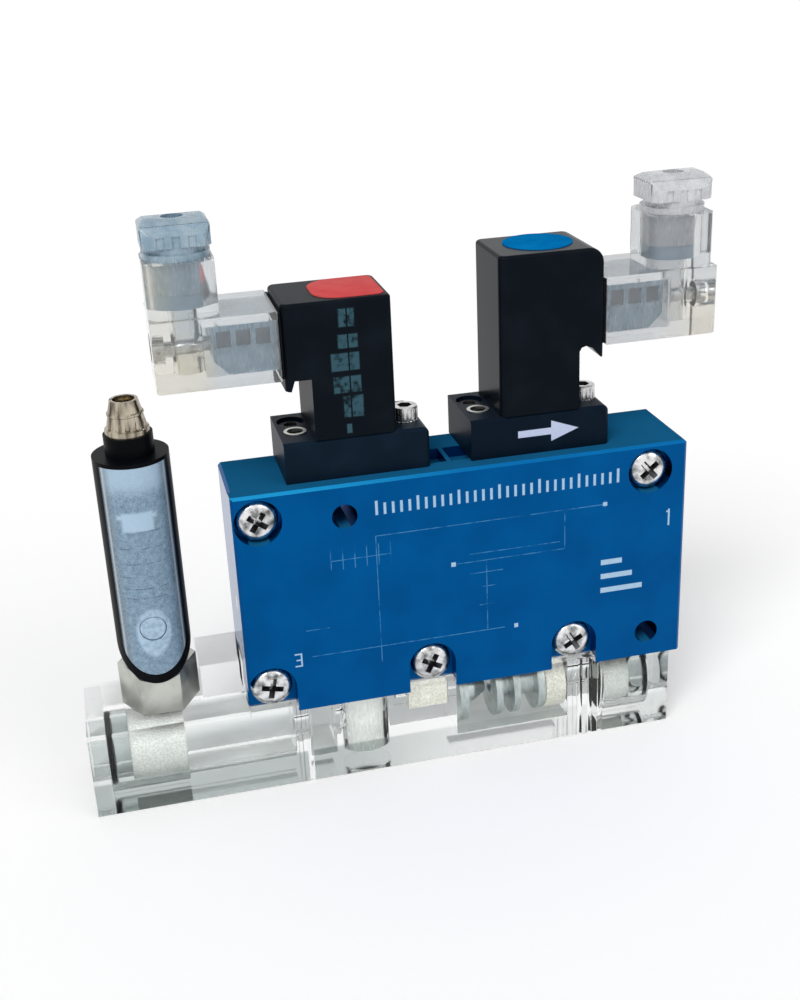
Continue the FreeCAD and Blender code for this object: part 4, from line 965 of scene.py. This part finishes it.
class Workpiece:
    """A mesh on the bench. It is shaped with the modelling tools, then fitted to the assembly."""

    def __init__(self, thing: bpy.types.Object, name: str) -> None:
        """Names the object and settles it at the origin.

        Args:
            thing: The object.
            name: The piece's name.
        """
        self.thing = thing
        thing.name = name
        thing.data.name = name
        self.focus()
        bpy.ops.object.transform_apply(location=True, rotation=True, scale=True)

    @classmethod
    def rod(cls, name: str, centre: Point, radius: float, length: float, axis: Axis = Axis.Z,
            sides: int = 48) -> "Workpiece":
        """Starts from a round bar.

        Args:
            name: The piece's name.
            centre: The bar's middle in millimetres.
            radius: Its radius in millimetres.
            length: Its length in millimetres.
            axis: Its direction.
            sides: How many flats stand for its round.

        Returns:
            The piece.
        """
        bpy.ops.mesh.primitive_cylinder_add(
            vertices=sides, radius=radius * MM, depth=length * MM, location=Vector(centre) * MM,
            rotation=axis.value)
        return cls(bpy.context.object, name)

    @classmethod
    def block(cls, name: str, low: Point, high: Point) -> "Workpiece":
        """Starts from a square bar between two corners in millimetres.

        Args:
            name: The piece's name.
            low: The corner at the low end of each axis.
            high: The corner at the high end.

        Returns:
            The piece.
        """
        middle = (Vector(low) + Vector(high)) / 2
        bpy.ops.mesh.primitive_cube_add(size=MM, location=middle * MM,
                                        scale=Vector(high) - Vector(low))
        return cls(bpy.context.object, name)

    @classmethod
    def moulding(cls, name: str, node: str, flat_degrees: float = 0.6) -> "Workpiece":
        """Starts from a merged copy of a modelled node, its flat faces made one.

        Args:
            name: The piece's name.
            node: The modelled node.
            flat_degrees: Faces that meet at less than this become one.

        Returns:
            The piece.
        """
        thing = bpy.data.objects.new(name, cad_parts[node].data.copy())
        bpy.context.scene.collection.objects.link(thing)
        piece = cls(thing, name)
        bpy.ops.mesh.customdata_custom_splitnormals_clear()
        piece.merge(0.002)
        if flat_degrees:
            bpy.ops.mesh.dissolve_limited(angle_limit=math.radians(flat_degrees))
        return piece.close()

    def focus(self) -> None:
        """Makes this the only chosen object, out of edit mode."""
        if bpy.context.object and bpy.context.object.mode != "OBJECT":
            bpy.ops.object.mode_set(mode="OBJECT")
        bpy.ops.object.select_all(action="DESELECT")
        self.thing.select_set(True)
        bpy.context.view_layer.objects.active = self.thing

    def open(self) -> "Workpiece":
        """Opens the mesh with all of it selected.

        Returns:
            This piece.
        """
        self.focus()
        bpy.ops.object.mode_set(mode="EDIT")
        bpy.ops.mesh.select_all(action="SELECT")
        return self

    def merge(self, distance: float) -> "Workpiece":
        """Opens the mesh and makes points that lie close together one.

        Args:
            distance: How near they have to be, in millimetres.

        Returns:
            This piece.
        """
        self.open()
        bpy.ops.mesh.remove_doubles(threshold=distance * MM)
        return self

    def pick(self, domain: Domain, test: Test) -> "Workpiece":
        """Opens the mesh and selects its faces or edges by their place and direction.

        Args:
            domain: Faces or edges.
            test: Takes the middle in millimetres, and the face's normal or the edge's direction.

        Returns:
            This piece.
        """
        self.open()
        bpy.ops.mesh.select_mode(type=domain.value)
        bpy.ops.mesh.select_all(action="DESELECT")
        mesh = bmesh.from_edit_mesh(self.thing.data)
        if domain is Domain.FACE:
            chosen = [face for face in mesh.faces
                      if test(face.calc_center_median() / MM, face.normal)]
        else:
            chosen = [edge for edge in mesh.edges if test(
                (edge.verts[0].co + edge.verts[1].co) / (2 * MM),
                (edge.verts[1].co - edge.verts[0].co).normalized())]
        for part in chosen:
            part.select_set(True)
        mesh.select_flush_mode()
        bmesh.update_edit_mesh(self.thing.data)
        return self

    def inset(self, margin: float, rise: float = 0.0, each: bool = False) -> "Workpiece":
        """Insets the picked faces by a margin and lifts them, in millimetres."""
        bpy.ops.mesh.inset(thickness=margin * MM, depth=rise * MM, use_individual=each)
        return self

    def extrude(self, move: Point) -> "Workpiece":
        """Draws the picked faces out by a move in millimetres."""
        bpy.ops.mesh.extrude_region_move(TRANSFORM_OT_translate={"value": Vector(move) * MM})
        return self

    def bevel(self, width: float, segments: int = 2) -> "Workpiece":
        """Rounds the picked edges by a width in millimetres."""
        bpy.ops.mesh.bevel(offset=width * MM, segments=segments, affect="EDGES")
        return self

    def resize(self, scale: Point, about: Point) -> "Workpiece":
        """Scales what is picked about a point in millimetres."""
        bpy.ops.transform.resize(value=scale, center_override=Vector(about) * MM)
        return self

    def close(self) -> "Workpiece":
        """Leaves edit mode."""
        bpy.ops.object.mode_set(mode="OBJECT")
        return self

    def apply(self, kind: str, **settings: Any) -> "Workpiece":
        """Adds one modifier, sets it and applies it.

        Args:
            kind: The modifier's type.
            **settings: Its settings.

        Returns:
            This piece.
        """
        self.focus()
        modifier = self.thing.modifiers.new(kind.lower(), kind)
        for key, value in settings.items():
            setattr(modifier, key, value)
        bpy.ops.object.modifier_apply(modifier=modifier.name)
        return self

    def _combine(self, operation: str, other: "Workpiece") -> "Workpiece":
        """Works another piece's shape into this one and throws that piece away.

        Args:
            operation: The boolean operation.
            other: The other piece.

        Returns:
            This piece.
        """
        self.apply("BOOLEAN", operation=operation, solver="EXACT", object=other.thing)
        other.scrap()
        return self

    def carve(self, cutter: "Workpiece") -> "Workpiece":
        """Cuts another piece's shape away."""
        return self._combine("DIFFERENCE", cutter)

    def add(self, other: "Workpiece") -> "Workpiece":
        """Joins another piece's shape on."""
        return self._combine("UNION", other)

    def soften(self, width: float, degrees: float) -> "Workpiece":
        """Rounds every edge sharper than an angle by a width in millimetres."""
        return self.apply("BEVEL", width=width * MM, segments=2, limit_method="ANGLE",
                          angle_limit=math.radians(degrees), use_clamp_overlap=False)

    def smooth(self, degrees: float = 32.0) -> "Workpiece":
        """Shades the mesh smooth over edges flatter than an angle.

        Args:
            degrees: The angle.

        Returns:
            This piece.
        """
        self.focus()
        bpy.ops.object.shade_smooth_by_angle(angle=math.radians(degrees))
        return self

    def outwards(self) -> "Workpiece":
        """Turns all faces outwards.

        Returns:
            This piece.
        """
        self.open()
        bpy.ops.mesh.normals_make_consistent(inside=False)
        return self.close()

    def paint(self, finish: str) -> "Workpiece":
        """Gives the whole piece a finish."""
        FINISHES.give(self.thing, finish)
        return self

    def paint_where(self, finish: str, test: Test) -> "Workpiece":
        """Gives the faces that pass a test a second finish.

        Args:
            finish: The finish.
            test: Takes a face's middle in millimetres and its normal.

        Returns:
            This piece.
        """
        self.thing.data.materials.append(FINISHES.materials[finish])
        self.thing.active_material_index = len(self.thing.data.materials) - 1
        self.pick(Domain.FACE, test)
        bpy.ops.object.material_slot_assign()
        return self.close()

    def copy(self, name: str, place: Point, turn: float = 0.0,
             axis: Axis = Axis.Y) -> "Workpiece":
        """Makes a copy with its own mesh, turned and moved.

        Args:
            name: The copy's name.
            place: Where the original's origin goes, in millimetres.
            turn: The turn about the axis in radians.
            axis: The axis of the turn.

        Returns:
            The copy.
        """
        thing = bpy.data.objects.new(name, self.thing.data.copy())
        bpy.context.scene.collection.objects.link(thing)
        turned = Matrix.Rotation(turn, 4, axis.name)
        thing.matrix_world = Matrix.Translation(Vector(place) * MM) @ turned
        return Workpiece(thing, name)

    def scrap(self) -> None:
        """Throws the piece away, once it has been copied."""
        bpy.data.objects.remove(self.thing)

    def stand_for(self, slot: str, *nodes: str) -> None:
        """Lets the piece stand for modelled nodes, and reports it.

        Args:
            slot: Not used.
            *nodes: The nodes.
        """
        if nodes:
            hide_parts(*nodes)
        log.info("%s: %d faces", self.thing.name, len(self.thing.data.polygons))

    def fit(self, slot: str, *nodes: str) -> None:
        """Lets the piece ride on the housing and stand for modelled nodes.

        Args:
            slot: The material slot's name, passed on to stand_for.
            *nodes: The nodes.
        """
        self.focus()
        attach(self.thing, "housing")
        self.stand_for(slot, *nodes)


@dataclass
class PanHeadScrew:
    """A cross-recessed pan head screw, modelled with its head towards -Y at the origin."""

    head_radius: float = 3.7
    head_height: float = 2.4
    rim_height: float = 0.9
    crown_radius: float = 1.6
    shank_radius: float = 1.95
    shank_length: float = 12.0
    recess_reach: float = 2.2
    recess_width: float = 1.15
    recess_depth: float = 1.6
    recess_taper: float = 0.45
    recess_lip: float = 0.15
    crown_steps: int = 7
    tip: float = 0.7
    sides: int = 56

    def model(self) -> Workpiece:
        """Shapes the screw from a round bar.

        Returns:
            The screw, to be copied.
        """
        screw = Workpiece.rod("pan_head_screw", (0, -self.rim_height / 2, 0), self.head_radius,
                              self.rim_height, Axis.Y, self.sides)
        screw.pick(Domain.FACE, lambda middle, normal: normal.y > STRAIGHT)
        screw.inset(self.head_radius - self.shank_radius)
        screw.extrude((0, self.shank_length - self.tip, 0)).inset(self.tip, self.tip)
        screw.pick(Domain.FACE, lambda middle, normal: normal.y < -STRAIGHT)
        reach = self.head_radius - self.crown_radius
        rise = self.head_height - self.rim_height
        for step in range(self.crown_steps):
            now, then = (math.pi / 2 * part / self.crown_steps for part in (step, step + 1))
            screw.inset(reach * (math.cos(now) - math.cos(then)),
                        rise * (math.sin(then) - math.sin(now)))
        screw.close()
        for long_x in (True, False):
            screw.carve(self._recess(long_x))
        screw.paint("pan_head_metal")
        # Painted shade: the cross recess takes a dark finish.
        lip = self.recess_reach + self.recess_lip
        screw.paint_where("screw_recess", lambda middle, normal: abs(normal.y) < 0.75
                          and math.hypot(middle.x, middle.z) < lip
                          and -self.head_height < middle.y < -0.2)
        return screw.smooth(24.0)

    def _recess(self, long_x: bool) -> Workpiece:
        """Makes one tapered arm pair of the cross.

        Args:
            long_x: Whether the arms lie along X, or else along Z.

        Returns:
            The cutter.
        """
        half = self.recess_width / 2
        reach = Vector((self.recess_reach, 0, half) if long_x else (half, 0, self.recess_reach))
        floor = self.recess_depth - self.head_height
        arm = Workpiece.block("recess_arm", (-reach.x, -self.head_height - 0.4, -reach.z),
                              (reach.x, floor, reach.z))
        arm.pick(Domain.FACE, lambda middle, normal: normal.y > STRAIGHT)
        return arm.resize((self.recess_taper, 1.0, self.recess_taper), (0, floor, 0)).close()


@dataclass
class CapScrew:
    """A knurled cap screw with a hexagonal socket, modelled upright with its seat at the origin."""

    head_radius: float = 2.25
    head_height: float = 2.5
    shank_radius: float = 1.2
    socket_radius: float = 1.3
    socket_depth: float = 1.4
    knurls: int = 20
    knurl_margin: float = 0.06
    knurl_depth: float = 0.10
    rim: float = 0.3
    tip: float = 0.4

    def model(self, shank_length: float, metal: str) -> Workpiece:
        """Shapes the screw from a round bar.

        Args:
            shank_length: How far it reaches below its seat.
            metal: Its finish.

        Returns:
            The screw, to be copied.
        """
        top = self.head_height
        screw = Workpiece.rod("cap_screw", (0, 0, top / 2), self.head_radius, top,
                              sides=2 * self.knurls)
        screw.pick(Domain.EDGE, lambda middle, along: middle.z > top - NEAR).bevel(self.rim, 3)
        wall = self.head_radius * math.cos(math.pi / self.knurls)
        every = math.pi / self.knurls
        screw.pick(Domain.FACE, lambda middle, normal: abs(normal.z) < 0.1
                   and math.hypot(middle.x, middle.y) > wall
                   and round(math.atan2(middle.y, middle.x) / every - 0.5) % 2 == 0)
        screw.inset(self.knurl_margin, -self.knurl_depth, each=True)
        screw.pick(Domain.FACE, lambda middle, normal: normal.z < -STRAIGHT)
        screw.inset(self.head_radius - self.shank_radius)
        screw.extrude((0, 0, self.tip - shank_length)).inset(self.tip, self.tip).close()
        key = Workpiece.rod("hexagon_key", (0, 0, top - self.socket_depth / 2 + 0.2),
                            self.socket_radius, self.socket_depth + 0.4, sides=6)
        screw.carve(key).paint(metal)
        # Painted shade: the hexagon socket takes a dark finish.
        floor = top - self.socket_depth
        screw.paint_where("screw_recess", lambda middle, normal: floor - 0.1 < middle.z < top - 0.1
                          and math.hypot(middle.x, middle.y) < self.socket_radius)
        return screw.smooth(28.0)


@dataclass
class PortThread:
    """The thread ridge inside a port, along X from its mouth."""

    name: str
    mouth: Point
    length: float
    finish: str
    slot: str
    root_radius: float = 4.27
    ridge_height: float = 0.30
    pitch: float = 0.907
    inwards: int = -1
    ridge_share: float = 1.5
    flank: float = 1.9
    lead_in: float = 0.8
    steps: int = 36

    def build(self) -> None:
        """Sweeps a small triangle along a helix, closes its ends and sets it in the port."""
        turns = int(self.length / self.pitch) - 1
        corner = self.ridge_height / self.ridge_share
        bpy.ops.mesh.primitive_circle_add(
            vertices=3, radius=corner * MM, location=(0, 0, (self.root_radius - 0.5 * corner) * MM),
            rotation=(-math.pi / 2, 0, 0))
        ridge = Workpiece(bpy.context.object, "thread_ridge")
        ridge.open().resize((self.flank, 1.0, 1.0), (0, 0, 0)).close()
        ridge.apply("SCREW", axis="X", steps=self.steps, render_steps=self.steps, iterations=turns,
                    screw_offset=self.inwards * self.pitch * MM, use_smooth_shade=True)
        ridge.merge(0.001)
        bpy.ops.mesh.fill_holes(sides=3)
        ridge.close().outwards()
        start = self.mouth[0] + self.inwards * self.pitch * self.lead_in
        thread = ridge.copy(self.name, (start, *self.mouth[1:]))
        ridge.scrap()
        thread.paint(self.finish).smooth(40.0).fit(self.slot)


@dataclass
class CoilSpring:
    """A coil spring between the housing and a moving piece."""

    node: str
    mover: str
    rests_high: bool
    metal: str = "bright_screw"
    slot: str = "steel"

    def build(self) -> None:
        """Smooths the modelled spring, gives it its finish and lets it stand for the modelled node.
        """
        spring = Workpiece.moulding(f"{self.node}_coil", self.node, 0.0)
        spring.smooth(60.0).paint(self.metal)
        low, high = (Vector(corner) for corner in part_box(self.node))
        foot, head = low.copy(), high.copy()
        foot.xy = head.xy = (low.xy + high.xy) / 2
        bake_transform(spring.thing)
        spring.stand_for(self.slot, self.node)


class Assembly:
    """A group of pieces: its new ones are built, then all are dressed."""

    def build(self) -> None:
        """Makes the new pieces."""
        raise NotImplementedError

    def dress(self) -> None:
        """Gives the modelled pieces their finishes."""
        raise NotImplementedError


@dataclass
class EjectorBlock(Assembly):
    """The blue block with its screws, its blanking plug and the thread of its supply port."""

    finish: str = "blue_anodised"
    seat_y: float = -6.2
    upper_z: float = 52.0
    screw_places: Tuple[Tuple[float, float, float], ...] = (
        (-36.2, 20.0, 12.0), (-7.2, 20.0, 28.0), (19.6, 20.0, 60.0),
        (-36.2, 52.0, 35.0), (33.6, 52.0, 50.0))
    port_mouth: Point = (40.5, 0.0, 42.6)
    port_depth: float = 9.0
    front_y: float = -9.0
    top_z: float = 57.0
    left_x: float = -40.5
    edge: float = 0.5
    seat_radius: float = 4.1
    seat_wall: float = 0.5
    overlap: float = 0.1
    cutter_length: float = 12.0

    def build(self) -> None:
        """Makes the block, its five pan head screws and the port's thread."""
        self._block()
        model = PanHeadScrew().model()
        for number, (x, z, twist) in enumerate(self.screw_places, 1):
            screw = model.copy(f"pan_head_screw_{number}", (x, self.seat_y, z), math.radians(twist))
            screw.fit("screw_chrome", "body_screws")
        model.scrap()
        PortThread("supply_port_thread", self.port_mouth, self.port_depth, self.finish,
                   "blue_anodised").build()

    def _block(self) -> None:
        """Closes the two upper screw seats of the modelled block below its chamfered top edge."""
        block = Workpiece.moulding("blue_block", "ejector_body", 0.0)
        margin = self.seat_radius + self.seat_wall
        for x in [x for x, z, _ in self.screw_places if z == self.upper_z]:
            left = max(x - margin, self.left_x)
            web = Workpiece.block("seat_web", (left, self.front_y, self.upper_z - margin),
                                  (x + margin, self.seat_y + self.overlap, self.top_z))
            web.pick(Domain.EDGE, lambda middle, along: middle.y < self.front_y + NEAR and (
                middle.z > self.top_z - NEAR or middle.x < self.left_x + NEAR))
            web.bevel(self.edge, 1).close()
            web.carve(Workpiece.rod("seat_cutter", (x, self.seat_y, self.upper_z),
                                    self.seat_radius, self.cutter_length, Axis.Y, 64))
            block.add(web)
        block.paint(self.finish).smooth(28.0).fit("blue_anodised", "ejector_body")

    def dress(self) -> None:
        """Gives the block's plugs their finish."""
        dress("bright_screw", "channel_plug", "plug_screws")


@dataclass
class ClearBlock(Assembly):
    """The clear housing with all that shows inside it."""

    def build(self) -> None:
        """Makes the check valve's spring, which is pressed up against its cage."""
        CoilSpring("check_valve_spring", "check_valve_poppet", rests_high=True).build()

    def dress(self) -> None:
        """Gives the housing and its inner pieces their finishes."""
        dress("clear_housing_plastic", "clear_housing")
        dress("clear_cap_plastic", "left_end_cap", "right_end_cap")
        dress("black_rubber", "left_o_ring", "right_o_ring", "valve_seals")
        dress("white_porous", "filter_element", "exhaust_silencer")
        dress("cream_felt", "suction_felt", "diffuser_ring")
        dress("frosted_plastic", "check_valve_cage", "check_valve_poppet")
        dress("turned_aluminium", "motive_nozzle", "receiver_nozzle")


class Station(Enum):
    """The two valve stations on the block."""

    SUPPLY = "supply"
    BLOWOFF = "blowoff"


@dataclass
class SolenoidValve(Assembly):
    """A solenoid valve with its plug."""

    station: Station
    axis_x: float
    neck_x: float
    coil: str
    foot: str
    cap: str
    plug: str
    nut: str
    cap_slot: str
    nut_slot: str
    axis_y: float = 1.5
    deck: float = 57.0
    thread_engaged: float = 5.0
    standing: Point = (9.6, -1.8, 64.2)
    sunk: Point = (-9.6, 3.6, 61.1)
    head_base: float = 97.8
    crown_base: float = 99.95
    grip_reach: float = 3.6
    cable_reach: float = 2.2
    nut_edge: float = 0.28
    plate_edge: float = 0.12
    screw_twist: float = 0.2

    def node(self, piece: str) -> str:
        """Gives the full name of one of the valve's nodes."""
        return f"{self.station.value}_{piece}"

    def _is_outer_edge(self, middle: Vector, along: Vector) -> bool:
        """Tells the crown's and the corners' edges of the gland nut from those of its grips.

        Args:
            middle: The edge's middle in millimetres.
            along: Its direction.

        Returns:
            Whether it is one of the first kind.
        """
        crown = middle.z > self.crown_base and math.hypot(
            middle.x - self.neck_x, middle.y - self.axis_y) > self.cable_reach
        corner = abs(along.z) > STRAIGHT and abs(middle.x - self.neck_x) > self.grip_reach
        return crown or (corner and middle.z > self.head_base)

    def build(self) -> None:
        """Makes the springs, the two cap screws, and the soft-edged gland nut and colour plate."""
        CoilSpring(self.node("plunger_spring"), self.node("plunger"), rests_high=True).build()
        CoilSpring(self.node("piston_spring"), self.node("piston"), rests_high=False).build()
        # The sunk screw takes the near-black finish: painted shade for its deep seat.
        for place, metal, name in ((self.standing, "bright_screw", "standing_screw"),
                                   (self.sunk, "sunk_screw", "sunk_screw")):
            x, y, seat = place
            model = CapScrew().model(seat - self.deck + self.thread_engaged, metal)
            screw = model.copy(self.node(name), (self.axis_x + x, self.axis_y + y, seat),
                               self.screw_twist, Axis.Z)
            model.scrap()
            screw.fit("steel", self.node("valve_screws"))
        nut = Workpiece.moulding(self.node("soft_nut"), self.node("gland_nut"))
        nut.pick(Domain.EDGE, self._is_outer_edge).bevel(self.nut_edge, 3).close()
        nut.smooth().paint(self.nut)
        nut.fit(self.nut_slot, self.node("gland_nut"))
        plate = Workpiece.moulding(self.node("soft_plate"), self.node("colour_disc"))
        plate.soften(self.plate_edge, 40.0).smooth().paint(self.cap)
        plate.fit(self.cap_slot, self.node("colour_disc"))

    def dress(self) -> None:
        """Gives the valve's and the plug's pieces their finishes."""
        for finish, piece in ((self.coil, "coil"), (self.foot, "valve_base"),
                              ("nickel", "override_sleeve"), ("switch_black", "override_pin"),
                              ("bright_screw", "plunger"), ("turned_aluminium", "piston"),
                              (self.plug, "plug_housing"), ("carrier_plastic", "terminal_carrier"),
                              ("tinned", "terminals"), ("black_rubber", "plug_gasket"),
                              ("grey_rubber", "gland_sleeve")):
            dress(finish, self.node(piece))


@dataclass
class VacuumSwitch(Assembly):
    """The vacuum switch on its hexagonal fitting."""

    edge: float = 0.18

    def build(self) -> None:
        """Makes the soft-edged hexagonal fitting."""
        fitting = Workpiece.moulding("soft_fitting", "switch_fitting")
        fitting.soften(self.edge, 28.0).smooth().paint("nickel")
        fitting.fit("nickel", "switch_fitting")

    def dress(self) -> None:
        """Gives the switch's pieces their finishes."""
        dress("black_rubber", "switch_washer")
        dress("switch_black", "switch_body", "switch_collar")
        dress("frosted_window", "switch_window", "set_button")
        dress("green_board", "switch_board")
        dress("warm_nickel", "switch_socket")
        dress("gilt", "switch_pins")


@dataclass
class PhotoCamera:
    """The camera that took the photograph, fitted to the block's corners."""

    azimuth: float = -0.21768
    elevation: float = 0.40508
    roll: float = -0.04627
    lens_mm: float = 48.98
    location_mm: Point = (-57.63, -215.99, 143.78)
    sensor_mm: float = 36.0
    nearest: float = 0.01
    farthest: float = 20.0

    def build(self) -> None:
        """Makes the camera and looks through it."""
        back = Vector((math.sin(self.azimuth) * math.cos(self.elevation),
                       -math.cos(self.azimuth) * math.cos(self.elevation),
                       math.sin(self.elevation)))
        right = (-back).cross(Vector((0, 0, 1))).normalized()
        up = right.cross(-back)
        turn_right = right * math.cos(self.roll) + up * math.sin(self.roll)
        turn_up = up * math.cos(self.roll) - right * math.sin(self.roll)
        bpy.ops.object.camera_add()
        camera = bpy.context.object
        camera.name = "photo_camera"
        facing = Matrix((turn_right, turn_up, back)).transposed().to_4x4()
        camera.matrix_world = Matrix.Translation(Vector(self.location_mm) * MM) @ facing
        camera.data.lens = self.lens_mm
        camera.data.sensor_width = self.sensor_mm
        camera.data.clip_start = self.nearest
        camera.data.clip_end = self.farthest
        bpy.context.scene.camera = camera


@dataclass(frozen=True)
class Sun:
    """A soft distant light: its direction, its watts per square metre and its width in degrees."""

    name: str
    towards: Point
    strength: float
    spread: float

    def build(self) -> None:
        """Makes the light."""
        bpy.ops.object.light_add(type="SUN", location=self.towards)
        light = bpy.context.object
        light.name = self.name
        light.data.energy = self.strength
        light.data.angle = math.radians(self.spread)
        light.rotation_mode = "QUATERNION"
        light.rotation_quaternion = (-Vector(self.towards)).to_track_quat("-Z", "Y")


@dataclass
class Studio:
    """The white floor, the white surroundings and the soft lights."""

    floor_colour: Colour = grey(0.90)
    floor_shade: Colour = grey(0.88)
    floor_glow: float = 0.16
    ambient: float = 0.50
    floor_size: float = 8.0
    floor_drop: float = 0.0001
    suns: Tuple[Sun, ...] = (Sun("key_light", (-0.42, -0.55, 0.72), 1.55, 28.0),
                             Sun("fill_light", (0.55, -0.60, 0.58), 0.45, 40.0))

    def build(self) -> None:
        """Makes the floor, the world and the lights."""
        self._floor()
        self._world()
        for sun in self.suns:
            sun.build()
        bpy.context.scene.view_settings.view_transform = "Standard"

    def _floor(self) -> None:
        """Makes the pale floor, lifted towards white where it is looked at."""
        bpy.ops.mesh.primitive_plane_add(size=self.floor_size, location=(0, 0, -self.floor_drop))
        floor = bpy.context.object
        floor.name = "floor"
        sheet = ShaderSheet("floor_paint")
        cloud = sheet.noise(400.0, 2.0)
        glow = sheet.mix(sheet.looked_at(), grey(0.0), grey(self.floor_glow))
        sheet.finish(Base_Color=sheet.mix(0.05 * cloud, self.floor_colour, self.floor_shade),
                     Roughness=0.9, Emission_Color=glow, Emission_Strength=1.0)
        floor.data.materials.append(sheet.material)

    def _world(self) -> None:
        """Makes surroundings that light softly and are seen as white."""
        world = bpy.data.worlds.new("white_room")
        world.use_nodes = True
        bpy.context.scene.world = world
        sheet = NodeSheet(world.node_tree)
        dim, bright = (sheet.add("ShaderNodeBackground", None,
                                 {"Color": grey(1.0), "Strength": strength})
                       for strength in (self.ambient, 1.0))
        blend = sheet.add("ShaderNodeMixShader", None, {0: sheet.looked_at(), 1: dim, 2: bright})
        sheet.add("ShaderNodeOutputWorld", None, {"Surface": blend})


def main() -> None:
    """Builds and dresses each sub-assembly, then sets the camera and the light."""
    logging.basicConfig(level=logging.INFO, format="%(message)s")
    bpy.ops.object.select_all(action="DESELECT")
    assemblies = (
        EjectorBlock(),
        ClearBlock(),
        SolenoidValve(Station.SUPPLY, axis_x=-18.0, neck_x=-44.25, coil="marked_coil",
                      foot="dark_foot", cap="red_cap", plug="clear_plug_plastic",
                      nut="smoky_nut", cap_slot="red_disc", nut_slot="blue_grey_plastic"),
        SolenoidValve(Station.BLOWOFF, axis_x=14.3, neck_x=40.55, coil="plain_coil",
                      foot="arrow_foot", cap="blue_cap", plug="pale_plug_plastic",
                      nut="white_nut", cap_slot="blue_disc", nut_slot="pale_plastic"),
        VacuumSwitch(),
    )
    for assembly in assemblies:
        assembly.build()
        assembly.dress()
    PhotoCamera().build()
    Studio().build()


if __name__ == "__main__":
    main()
